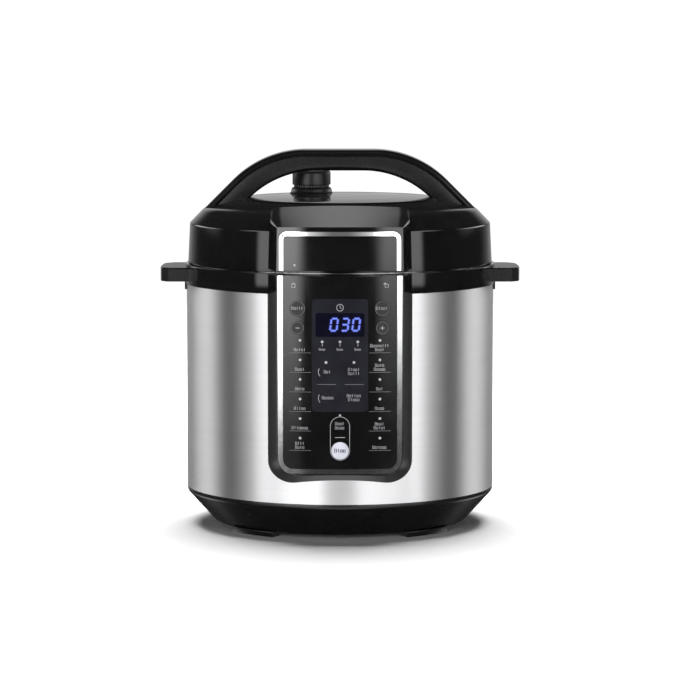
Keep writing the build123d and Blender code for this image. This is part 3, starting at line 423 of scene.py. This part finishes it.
def lathe(profile, centre=(0, 0), segments=180):
    """A ring-shaped solid: the closed (radius, height) profile turned round a vertical axis."""
    bm = bmesh.new()
    rings = []
    for r, z in profile:
        ring = []
        for i in range(segments):
            turn = 2 * pi * i / segments
            ring.append(bm.verts.new((
                (centre[0] + r * cos(turn)) * MM, (centre[1] + r * sin(turn)) * MM, z * MM,
            )))
        rings.append(ring)
    for a, b in zip(rings, rings[1:] + rings[:1]):
        for i in range(segments):
            j = (i + 1) % segments
            bm.faces.new((a[i], a[j], b[j], b[i]))
    bmesh.ops.remove_doubles(bm, verts=bm.verts, dist=WELD)
    bmesh.ops.dissolve_degenerate(bm, dist=WELD, edges=bm.edges)
    return bm


def skin(sections):
    """A solid through a list of closed loops with the same number of points."""
    bm = bmesh.new()
    loops = [[bm.verts.new([c * MM for c in point]) for point in loop] for loop in sections]
    count = len(loops[0])
    for a, b in zip(loops, loops[1:]):
        for i in range(count):
            j = (i + 1) % count
            bm.faces.new((a[i], a[j], b[j], b[i]))
    bm.faces.new(loops[0])
    bm.faces.new(loops[-1])
    return bm


# ------------------------------------------------------------------ turned parts
FACE_Y, FACE_R = -150.0, 300.0
FACE_AXIS_Y = FACE_Y + FACE_R
VALVE = (-25.8, 34.0)
FLOAT, FLOAT_HOLE_R = (-25.8, 66.0), 2.8
# the small upright ribs round the knob's neck
RIBS, RIB_R, RIB_H, RIB_RING_R, RIB_Z = 36, 0.7, 2.0, 15.2, 301.4


def face_depth(x, behind=0.0):
    """Y of the curved panel face at x, or of a surface that far behind it."""
    return FACE_AXIS_Y - sqrt((FACE_R - behind) ** 2 - x * x)


def make_base():
    """The cone under the drum: (radius, height) points along its outside, then back inside."""
    base = [(84, 4), (113.4, 4), (137.5, 30.5), (137.5, 34.5), (137.05, 34.5), (137.05, 40), (134.5, 40),
            (134.5, 31.5), (111.5, 6), (78, 6), (78, 4.6), (84, 4.6)]
    turned = rounded(base, [0, 5, 3, 0.4, 0, 0, 0, 3, 3, 0, 0, 0])
    new_piece("base_ring", lathe(turned), BASE_BLACK, "base", ["bottom_housing"])


def make_collar():
    """The gloss band that the lid sits on, with its inner lip."""
    collar = [(138.6, 216.6), (138.6, 234.5), (135.6, 234.5), (135.6, 219.1), (121.5, 219.1), (121.5, 224.5),
              (119, 224.5), (119, 216.6), (134, 216.6), (134, 210), (137.05, 210), (137.05, 216.6)]
    turned = rounded(collar, [0.5, 0.5, 0.4, 1.5, 0.8, 0.6, 0.4, 0, 0, 0, 0, 0])
    new_piece("collar_ring", lathe(turned), LOOKS["gloss_black"], "base", ["collar"])


def make_valve():
    """The knob with a ribbed neck, and the stepped surround that it stands in."""
    cap = [(0, 315.5), (17.3, 315.5), (17.3, 302.4), (RIB_RING_R, 302.4), (RIB_RING_R, 300.3), (9, 300.3),
           (9, 309), (0, 309)]
    bm = lathe(rounded(cap, [0, 2.6, 0.8, 0.3, 0.4, 0.4, 0, 0]), VALVE, 96)
    for i in range(RIBS):
        turn = 2 * pi * i / RIBS
        place = VALVE[0] + RIB_RING_R * cos(turn), VALVE[1] + RIB_RING_R * sin(turn), RIB_Z
        rib = bmesh.ops.create_cone(
            bm, cap_ends=True, segments=10, radius1=RIB_R * MM, radius2=RIB_R * MM, depth=RIB_H * MM,
        )["verts"]
        bmesh.ops.translate(bm, verts=rib, vec=[c * MM for c in place])
    new_piece("valve_cap", bm, KNOB_BLACK, "pressure_valve", ["valve_knob"])

    ring = [(12, 300), (17.2, 300), (18.1, 298.6), (18.6, 296.0), (20.6, 293.8), (22.2, 292.5),
            (12, 292.5)]
    turned = rounded(ring, [0.4, 0.9, 0.8, 3, 0.8, 0, 0])
    new_piece("valve_ring", lathe(turned, VALVE, 96), KNOB_BLACK, "lid", ["valve_surround"])


FOOT_IN_R, FOOT_OUT_R, FOOT_LEAN, FOOT_H = 104, 115.6, 0.8, 5.0
# each foot spans this many degrees either side of its middle
FOOT_HALF, FOOT_STEP = 12, 2
FEET = {"front_right": -47, "front_left": -133, "back_right": 47, "back_left": 133}


def make_feet():
    """Four low feet under the rim of the cone, and a little proud of it."""
    corners = [(FOOT_IN_R, 0), (FOOT_OUT_R, 0), (FOOT_OUT_R + FOOT_LEAN, FOOT_H), (FOOT_IN_R, FOOT_H)]
    profile = rounded(corners, [0.5, 0.8, 0.8, 0])
    for name, middle in FEET.items():
        loops = []
        for angle in range(middle - FOOT_HALF, middle + FOOT_HALF + 1, FOOT_STEP):
            turn = radians(angle)
            loops.append([(r * cos(turn), r * sin(turn), z) for r, z in profile])
        new_piece("foot_" + name, skin(loops), LOOKS["satin_black"], "base", ["rubber_feet"])


def make_lid_shell():
    """The lid's turned shell, with the hole that the float rises through."""
    shell = [(136.3, 235.3), (134.6, 270.6), (121.6, 284.0), (91.2, 291.7), (90.4, 290.6), (88.8, 290.6),
             (87.6, 292.9), (60, 294.4), (30, 295.2), (0, 295.5), (0, 293), (86, 290.2), (91, 288.6),
             (119.4, 281.6), (131.9, 268.2), (133.8, 235.3)]
    radii = [0.4, 2.5, 12, 0.5, 0.2, 0.2, 1.2, 40, 60, 0, 0, 0, 0, 4, 5, 0.5]
    mesh = lathe(rounded(shell, radii), segments=256)
    cover = new_piece("lid_shell", mesh, LOOKS["gloss_black"], "lid", ["lid_cover"])
    hole = [(0, 285), (FLOAT_HOLE_R, 285), (FLOAT_HOLE_R, 300), (0, 300)]
    carve(cover, lathe(hole, FLOAT, 32))


# the block's underside, its ramp's height at the face, the ramp's slope and its crown across
BLOCK_LOW, BLOCK_HIGH, BLOCK_RISE, BLOCK_CROWN = 238.0, 276.0, (290.5 - 275.2) / 50.0, 1.8
# how far the block reaches back, and the share of that over which its sides flare
BLOCK_REACH, BLOCK_ROOT = 50.0, 0.56
# half widths at the face and where the flare ends, at the ramp and at the underside
FRONT_HALF, BACK_HALF = 54.0, 61.4
FRONT_LOW_HALF, BACK_LOW_HALF = 54.6, 62.8
# the ramp's side edges, rounded more towards the back
FRONT_EDGE_R, EDGE_R_GAIN = 1.0, 6.0
EDGE_STEPS, TOP_STEPS, BLOCK_ROWS = 6, 28, 12
# the bright ring's outer and inner outlines
RING_HALF, RING_TOP, RING_LOW, RING_CORNER = 52.5, 272.05, 238.5, 7
RING_IN_HALF, RING_IN_TOP, RING_IN_CORNER = 48.7, 268.2, 3


def make_lid_block():
    """The drafted block in front of the lid, with a pocket in its face for the ring and the plate."""
    look = "gloss_black"
    block = new_piece("lid_block", block_mesh(), LOOKS[look], "lid", ["lid_cover"], limit=20)
    carve(block, pocket_tool(RING_HALF + 0.05, BLOCK_LOW - 3, RING_TOP + 0.05, RING_CORNER, 2.0))
    carve(block, hollow_tool())
    add_bevel(block, 0.4, 3, 24)


def block_row(along):
    """One cross-section of the block, along from 0 at the face to 1 at the back, as (x, y, z, low x)."""
    blend = min(1, along / BLOCK_ROOT)
    half = FRONT_HALF + (BACK_HALF - FRONT_HALF) * blend
    low_scale = (FRONT_LOW_HALF + (BACK_LOW_HALF - FRONT_LOW_HALF) * blend) / half
    edge = FRONT_EDGE_R + EDGE_R_GAIN * blend
    spots = []
    for i in range(EDGE_STEPS + 1):
        turn = radians(90 / EDGE_STEPS * i)
        spots.append((-half + edge * (1 - cos(turn)), edge * (1 - sin(turn))))
    flat = half - edge
    spots += [(flat * (i / (TOP_STEPS // 2) - 1), 0.0) for i in range(1, TOP_STEPS)]
    spots += [(-x, drop) for x, drop in spots[EDGE_STEPS::-1]]
    row = []
    for x, drop in spots:
        y = FACE_Y + BLOCK_REACH * along + (face_depth(x) - FACE_Y) * (1 - along)
        top = BLOCK_HIGH + (y - FACE_Y) * BLOCK_RISE - BLOCK_CROWN * (x / half) ** 2 - drop
        row.append((x, y, top, x * low_scale))
    return row


def block_mesh():
    """Curved face, drafted sides, and a crowned ramp with round side edges."""
    bm = bmesh.new()
    rows = [block_row(i / BLOCK_ROWS) for i in range(BLOCK_ROWS + 1)]
    tops, lows = [], []
    for row in rows:
        tops.append([bm.verts.new((x * MM, y * MM, z * MM)) for x, y, z, low_x in row])
    for row in rows:
        lows.append([bm.verts.new((low_x * MM, y * MM, BLOCK_LOW * MM)) for x, y, z, low_x in row])
    last = len(tops[0]) - 1
    for a, b, c, d in zip(tops, tops[1:], lows, lows[1:]):
        for i in range(last):
            bm.faces.new((a[i], a[i + 1], b[i + 1], b[i]))
            bm.faces.new((c[i], d[i], d[i + 1], c[i + 1]))
        bm.faces.new((a[0], b[0], d[0], c[0]))
        bm.faces.new((a[last], c[last], d[last], b[last]))
    for top, low in ((tops[0], lows[0]), (tops[-1], lows[-1])):
        for i in range(last):
            bm.faces.new((top[i], low[i], low[i + 1], top[i + 1]))
    return bm


def arch_outline(half, low, high, corner, steps):
    """An upright rectangle of (x, z) points with round upper corners, open along the bottom."""
    corners = [(-half, low), (-half, high), (half, high), (half, low)]
    return rounded(corners, [0, corner, corner, 0], steps)


def make_lid_ring():
    """The lid's half of the bright ring, its face leaning outwards."""
    lean, edge, proud, deep = 0.22, 0.15, 0.3, 1.7
    share = edge / (RING_HALF - RING_IN_HALF)
    outer = arch_outline(RING_HALF, RING_LOW, RING_TOP, RING_CORNER, 10)
    inner = arch_outline(RING_IN_HALF, RING_LOW, RING_IN_TOP, RING_IN_CORNER, 10)
    steps = ((0, deep), (0, -proud + lean + edge), (share, -proud + lean * (1 - share)),
             (1 - share, -proud + lean * share), (1, -proud + edge), (1, deep))
    loops = []
    for out, into in dense_pairs(outer, inner):
        loop = []
        for across, back in steps:
            x, z = between(out, into, across)
            loop.append((x, face_depth(x) + back, z))
        loops.append(loop)
    new_piece("lid_ring", skin(loops), LOOKS["chrome"], "lid", ["lid_trim"], limit=40)


def between(a, b, t):
    """The point a fraction t of the way from a to b."""
    return a[0] + (b[0] - a[0]) * t, a[1] + (b[1] - a[1]) * t


def dense_pairs(outer, inner):
    """Matching points of two outlines, with the long runs cut into short steps."""
    pairs = []
    ends = list(zip(outer, inner))
    for (a, c), (b, d) in zip(ends, ends[1:]):
        count = max(1, int(hypot(b[0] - a[0], b[1] - a[1]) / 3))
        for i in range(count):
            t = i / count
            pairs.append((between(a, b, t), between(c, d, t)))
    return pairs + [ends[-1]]


def pocket_tool(half, z0, z1, corner, depth):
    """A block that cuts a pocket with round upper corners into the curved face."""
    outline = arch_outline(half, z0, z1, corner, 8)
    dense = []
    for a, b in zip(outline, outline[1:] + outline[:1]):
        pieces = max(1, int(hypot(b[0] - a[0], b[1] - a[1]) / 4))
        dense += [between(a, b, i / pieces) for i in range(pieces)]
    front = [(x, FACE_Y - 15, z) for x, z in dense]
    back = [(x, face_depth(x, depth), z) for x, z in dense]
    return skin([front, back])


def hollow_tool():
    """The inside of the lid, which the block doesn't fill."""
    profile = [(0, 230), (133.4, 230), (132.0, 266), (119.2, 281.3), (91, 288.3), (0, 291)]
    return lathe(profile, segments=96)


def carve(obj, tool):
    """Cuts the tool out of the piece's own mesh."""
    bmesh.ops.remove_doubles(tool, verts=tool.verts, dist=WELD)
    bmesh.ops.recalc_face_normals(tool, faces=tool.faces)
    mesh = bpy.data.meshes.new("tool")
    tool.to_mesh(mesh)
    tool.free()
    cutter = bpy.data.objects.new("tool", mesh)
    bpy.context.scene.collection.objects.link(cutter)
    cut = obj.modifiers.new("cut", "BOOLEAN")
    cut.operation = "DIFFERENCE"
    cut.solver = "EXACT"
    cut.object = cutter
    bpy.context.view_layer.update()
    cut_obj = obj.evaluated_get(bpy.context.evaluated_depsgraph_get())
    shape = bpy.data.meshes.new_from_object(cut_obj)
    obj.modifiers.remove(cut)
    obj.data = shape
    bpy.data.objects.remove(cutter)
    soften(shape, 24)


# ------------------------------------------------------------------ lid handle
ARCH_TOP, ARCH_FLAT, ARCH_R, ARCH_DROP = 336.0, 30.0, 93.0, 26.5
CAP_T, HALF_DEPTH, SEAM_GAP = 5.7, 15.0, 0.05
ARCH_IN_TOP, ARCH_IN_FLAT, ARCH_IN_R, ARCH_FOOT = 317.3, 20.7, 86.0, 82.0


def arch_line(inset, steps=72):
    """Evenly spaced (x, z) points from the middle of the arch down its right side, inset below its top."""
    top, flat, radius = ARCH_TOP - inset, ARCH_FLAT, ARCH_R - inset
    end_x, end_z = flat + radius * sin(radians(45)), top - radius + radius * cos(radians(45))
    bend = radius * radians(45)
    total = flat + bend + ARCH_DROP * sqrt(2)
    points = []
    for i in range(steps + 1):
        s = total * i / steps
        if s < flat:
            points.append((s, top))
        elif s < flat + bend:
            turn = (s - flat) / radius
            points.append((flat + radius * sin(turn), top - radius + radius * cos(turn)))
        else:
            run = (s - flat - bend) / sqrt(2)
            points.append((end_x + run, end_z - run))
    return points


def grip_line(steps=72):
    """The underside of the arch, spaced to pair with arch_line's points."""
    last = asin((ARCH_FOOT - ARCH_IN_FLAT) / ARCH_IN_R)
    total = ARCH_IN_FLAT + ARCH_IN_R * last
    points = []
    for i in range(steps + 1):
        s = total * i / steps
        turn = max(0.0, (s - ARCH_IN_FLAT) / ARCH_IN_R)
        x = s if turn == 0 else ARCH_IN_FLAT + ARCH_IN_R * sin(turn)
        points.append((x, ARCH_IN_TOP - ARCH_IN_R + ARCH_IN_R * cos(turn)))
    return points


def arch_piece(name, outer, inner, outer_round, inner_round, half_depth, look, replaced):
    """A bar between two arch lines, with its long edges rounded."""
    sections = []
    right = list(zip(outer, inner))
    left = [((-a[0], a[1]), (-b[0], b[1])) for a, b in right[:0:-1]]
    for top, low in left + right:
        span = hypot(top[0] - low[0], top[1] - low[1])
        corner = [(-half_depth, 0), (-half_depth, span), (half_depth, span), (half_depth, 0)]
        loop = rounded(corner, [inner_round, outer_round, outer_round, inner_round], 6)
        along = (top[0] - low[0]) / span, (top[1] - low[1]) / span
        sections.append([(low[0] + along[0] * u, y, low[1] + along[1] * u) for y, u in loop])
    new_piece(name, skin(sections), LOOKS[look], "lid", [replaced], limit=40)


def make_handle():
    """The gloss cap over the satin grip."""
    top, seam, below = arch_line(0), arch_line(CAP_T), arch_line(CAP_T + SEAM_GAP)
    arch_piece("handle_shell", top, seam, 3.2, 0.5, HALF_DEPTH, "gloss_black", "handle_cap")
    arch_piece("handle_core", below, grip_line(), 0.6, 4.2, HALF_DEPTH - 0.5, "satin_black", "handle_grip")


# ------------------------------------------------------------------ drawn marks on the curved face
def add_slab(bm, loop, proud, thick=0.12):
    """A thin raised patch on the face, with the outline given as (x, z) points."""
    top = [bm.verts.new((x * MM, (face_depth(x) - proud) * MM, z * MM)) for x, z in loop]
    low = [bm.verts.new((x * MM, (face_depth(x) - proud + thick) * MM, z * MM)) for x, z in loop]
    bm.faces.new(top)
    bm.faces.new(low[::-1])
    for i in range(len(loop)):
        j = (i + 1) % len(loop)
        bm.faces.new((top[i], low[i], low[j], top[j]))


def add_stroke(bm, points, width, proud, closed=False):
    """A thin raised line along (x, z) points."""
    count = len(points)
    left, right = [], []
    for i, (x, z) in enumerate(points):
        back = points[i - 1] if i or closed else points[i]
        ahead = points[(i + 1) % count] if i < count - 1 or closed else points[i]
        dx, dz = ahead[0] - back[0], ahead[1] - back[1]
        size = hypot(dx, dz)
        nx, nz = -dz / size * width / 2, dx / size * width / 2
        left.append((x + nx, z + nz))
        right.append((x - nx, z - nz))
    for i in range(count if closed else count - 1):
        j = (i + 1) % count
        add_slab(bm, [left[i], left[j], right[j], right[i]], proud)


def ring_points(x, z, radius, start, end, steps):
    """Points clockwise round a circle, from start to end in degrees from its top."""
    turns = [radians(start + (end - start) * i / steps) for i in range(steps + 1)]
    return [(x + radius * sin(t), z + radius * cos(t)) for t in turns]


def bar(bm, x0, x1, z, width, proud):
    """A level line, in steps short enough to follow the curved face."""
    steps = 5
    points = [between((x0, z), (x1, z), i / steps) for i in range(steps + 1)]
    add_stroke(bm, points, width, proud)


BOX_SHARE, TALL, BAR_CHANCE = 0.62, 1.4, 0.3


def mock_word(bm, x, z, boxes, proud, high=1.75, pitch=2.05, line=0.3):
    """A row of small hollow boxes and bars where a printed caption would be."""
    start = x - boxes * pitch / 2
    wide = pitch * BOX_SHARE
    for i in range(boxes):
        left, low = start + i * pitch, z - high / 2
        tall = high * TALL if i == 0 else high
        if i and random.random() < BAR_CHANCE:
            middle = left + wide / 2
            add_stroke(bm, [(middle, low), (middle, low + high * TALL)], line, proud)
        else:
            box = [(left, low), (left + wide, low), (left + wide, low + tall), (left, low + tall)]
            add_stroke(bm, box, line, proud, closed=True)


PROUD, RULE_LINE = 0.1, 0.35
COLUMN_X, COLUMN_HALF, ROW_TOP, ROW_STEP = 34.3, 9.3, 178.7, 16.9
WORD_DROP, UPPER_DROP, RULE_DROP = 8.3, 4.9, 10.7
# boxes in each row's caption, and in the upper line of those with two, by side and row
COLUMN_BOXES = {-1: (5, 4, 4, 5, 7, 4), 1: (4, 5, 3, 4, 5, 6)}
UPPER_BOXES = {(-1, 5): 4, (1, 0): 8, (1, 1): 4, (1, 4): 4}


def print_columns(grey, dim):
    """The captions in two columns, each over a dim rule."""
    for side in (-1, 1):
        middle = side * COLUMN_X
        for i, boxes in enumerate(COLUMN_BOXES[side]):
            z = ROW_TOP - ROW_STEP * i
            mock_word(grey, middle, z - WORD_DROP, boxes, PROUD)
            if (side, i) in UPPER_BOXES:
                mock_word(grey, middle, z - UPPER_DROP, UPPER_BOXES[side, i], PROUD)
            bar(dim, middle - COLUMN_HALF, middle + COLUMN_HALF, z - RULE_DROP, RULE_LINE, PROUD)


LEVEL_X, LEVEL_TICK_Z, LEVEL_WORD_Z = (-15.2, 0.0, 15.4), 174.6, 170.8
# x, z and number of boxes
CENTRE_WORDS = (
    (-10.6, 151.4, 3), (-10.2, 129.0, 5), (12.2, 153.4, 5), (12.2, 150.0, 5),
    (12.2, 130.8, 6), (12.2, 127.4, 5), (0, 106.6, 4), (0, 103.0, 4),
)
CENTRE_RULES, CENTRE_RULE_Z = ((-19.6, -3.4), (4.0, 20.4)), 140.8
# painted highlight: a grey crescent on the left rim of each of the two round keys on the centre plate, at
# this x, these heights and this radius
KEY_HIGHLIGHT_X, KEY_HIGHLIGHT_Z, KEY_HIGHLIGHT_R = -13.4, (151.5, 129.0), 5.2


def print_centre(grey, dim):
    """The level marks, the captions on the centre plate, a painted highlight crescent on the left rim of
    each of its two keys, and the rules between them.
    """
    for x in LEVEL_X:
        bar(grey, x - 0.25, x + 0.25, LEVEL_TICK_Z, 1.6, PROUD)
        mock_word(grey, x, LEVEL_WORD_Z, 4, PROUD, 1.2, 1.4, 0.25)
    for x, z, boxes in CENTRE_WORDS:
        mock_word(grey, x, z, boxes, PROUD)
    for x0, x1 in CENTRE_RULES:
        bar(dim, x0, x1, CENTRE_RULE_Z, RULE_LINE, PROUD)
    for z in KEY_HIGHLIGHT_Z:
        # painted highlight crescent along the key's left rim, drawn in the print grey
        add_stroke(grey, ring_points(KEY_HIGHLIGHT_X, z, KEY_HIGHLIGHT_R, 225, 305, 10), RULE_LINE, PROUD)


CAPSULE_R, CAPSULE_TOP, CAPSULE_LOW, CAPSULE_RULE_Z, CAPSULE_DOT_Z = 8.3, 104.5, 83.6, 94.9, 114.1
CLOCK_Z, CLOCK_R = 207, 2.9
ICON_X, ICON_LOW, ICON_TOP, ICON_HALF = 40, 224.4, 227, 1.5


def print_outlines(grey):
    """The capsule round the two lower keys, the clock, and an icon near each upper corner."""
    capsule = ring_points(0, CAPSULE_TOP, CAPSULE_R, -90, 90, 24)
    capsule += ring_points(0, CAPSULE_LOW, CAPSULE_R, 90, 270, 24)
    add_stroke(grey, capsule, 0.32, PROUD, closed=True)
    bar(grey, -4.3, 4.3, CAPSULE_RULE_Z, 0.4, PROUD)
    add_slab(grey, ring_points(0, CAPSULE_DOT_Z, 0.9, 0, 340, 17), PROUD)
    add_stroke(grey, ring_points(0, CLOCK_Z, CLOCK_R, 0, 345, 23), 0.45, PROUD, closed=True)
    add_stroke(grey, [(0, CLOCK_Z + 2), (0, CLOCK_Z), (1.3, CLOCK_Z - 0.8)], 0.4, PROUD)
    for side in (-1, 1):
        x = side * ICON_X
        left, right = x - ICON_HALF, x + ICON_HALF
        box = [(left, ICON_LOW), (right, ICON_LOW), (right, ICON_TOP), (left, ICON_TOP)]
        add_stroke(grey, box, 0.45, PROUD, closed=True)
        shackle_x = x - 1.4 if side > 0 else x
        add_stroke(grey, ring_points(shackle_x, ICON_TOP, 1.0, -90, 90, 8), 0.4, PROUD)


def make_print():
    """Everything printed on the panel that stays still, and the small mark on the lid."""
    grey, dim = bmesh.new(), bmesh.new()
    print_columns(grey, dim)
    print_centre(grey, dim)
    print_outlines(grey)
    new_piece("panel_print", grey, PRINT_GREY, "base")
    new_piece("panel_lines", dim, PRINT_DIM, "base")

    mark = bmesh.new()
    add_slab(mark, [(-40.1, 243.9), (-37.9, 243.9), (-39, 242.1)], PROUD)
    new_piece("lid_mark", mark, PRINT_GREY, "lid")


ROUND_KEYS = {
    "cancel": (-36.4, 206.0, 6.0), "start": (36.4, 206.0, 6.0),
    "minus": (-36.4, 189.3, 5.1), "plus": (36.4, 189.3, 5.1),
}
SIGN_HALF, SIGN_LINE = 1.7, 0.5


def make_key_marks():
    """The rims and marks of the round keys and the menu key, each riding on its key."""
    for name, (x, z, radius) in ROUND_KEYS.items():
        mark, rim = bmesh.new(), bmesh.new()
        add_stroke(rim, ring_points(x, z, radius, 0, 350, 35), 0.28, PROUD, closed=True)
        new_piece(name + "_rim", rim, PRINT_DIM, name + "_key")
        if name in ("cancel", "start"):
            mock_word(mark, x, z, 5, PROUD)
        else:
            bar(mark, x - SIGN_HALF, x + SIGN_HALF, z, SIGN_LINE, PROUD)
        if name == "plus":
            add_stroke(mark, [(x, z - SIGN_HALF), (x, z + SIGN_HALF)], SIGN_LINE, PROUD)
        new_piece(name + "_mark", mark, PRINT_GREY, name + "_key")
    mark = bmesh.new()
    mock_word(mark, 0.4, 83.2, 4, 0.12, 2.0, 2.5, 0.8)
    new_piece("menu_mark", mark, LOOKS["panel_blue_black"], "menu_key")


DIGIT_X, DIGIT_Z, DIGIT_PITCH = -8.6, 187.2, 9.5
DIGIT_W, DIGIT_H, DIGIT_SLANT, DIGIT_LINE, HALO_EXTRA = 5.6, 10.4, 0.13, 1.25, 1.3
LIT = {"0": "abcdef", "3": "abcdg"}
# each segment's ends, as shares of a figure's width and height
SEGMENT_ENDS = {
    "a": ((0.1, 1), (0.9, 1)), "g": ((0.1, 0.5), (0.9, 0.5)), "d": ((0.1, 0), (0.9, 0)),
    "f": ((0, 0.95), (0, 0.55)), "b": ((1, 0.95), (1, 0.55)),
    "e": ((0, 0.45), (0, 0.05)), "c": ((1, 0.45), (1, 0.05)),
}


def make_digits():
    """Three slanted seven-segment figures at the right of the display window."""
    figures, halo = bmesh.new(), bmesh.new()
    for i, digit in enumerate("030"):
        for segment in LIT[digit]:
            line = []
            for across, up in SEGMENT_ENDS[segment]:
                x = DIGIT_X + i * DIGIT_PITCH + across * DIGIT_W + up * DIGIT_H * DIGIT_SLANT
                line.append((x, DIGIT_Z + up * DIGIT_H))
            add_stroke(figures, line, DIGIT_LINE, 0.16)
            add_stroke(halo, line, DIGIT_LINE + HALO_EXTRA, 0.06)
    new_piece("display_figures", figures, DIGIT_BLUE, "base")
    new_piece("display_halo", halo, DIGIT_HALO, "base")


# ------------------------------------------------------------------ looks on the CAD nodes
# width in mm, segments, least angle in degrees
BEVELS = {
    "panel_housing": (0.6, 3, 35), "panel_trim": (0.7, 3, 40), "lid_plate": (0.2, 2, 40),
    "panel_fascia": (0.15, 2, 50), "center_plate": (0.1, 2, 50), "side_handle_left": (1.0, 3, 35),
    "side_handle_right": (1.0, 3, 35), "power_inlet": (0.6, 3, 40),
    "condensation_cup": (0.5, 3, 40), "cup_bracket": (0.8, 3, 40), "menu_button": (0.5, 3, 45),
    "heating_plate": (0.8, 3, 40), "inner_pot": (0.4, 2, 30), "outer_pot": (0.4, 2, 30),
    "inner_lid": (0.4, 2, 40), "bottom_cover": (0.3, 2, 40), "outer_shell": (0.15, 1, 60),
}


OWN_LOOKS = {name + "_button": ROUND_KEY for name in ("cancel", "start", "minus", "plus")}
OWN_LOOKS["panel_housing"] = HOUSING_BLACK


def dress_nodes():
    """Materials and edge bevels for the CAD nodes."""
    for name, obj in NODES.items():
        obj.data.materials.clear()
        obj.data.materials.append(OWN_LOOKS.get(name, LOOKS[SLOT_OF[name]]))
        for polygon in obj.data.polygons:
            polygon.use_smooth = True
        bevel = BEVELS.get(name)
        if bevel:
            add_bevel(obj, *bevel)


make_camera()
make_world()
make_floor()
for lamp in LAMPS:
    area_light(*lamp)
make_base()
make_collar()
make_valve()
make_feet()
make_lid_shell()
make_lid_block()
make_lid_ring()
make_handle()
make_print()
make_key_marks()
make_digits()
dress_nodes()
bpy.context.scene.view_settings.view_transform = "Standard"
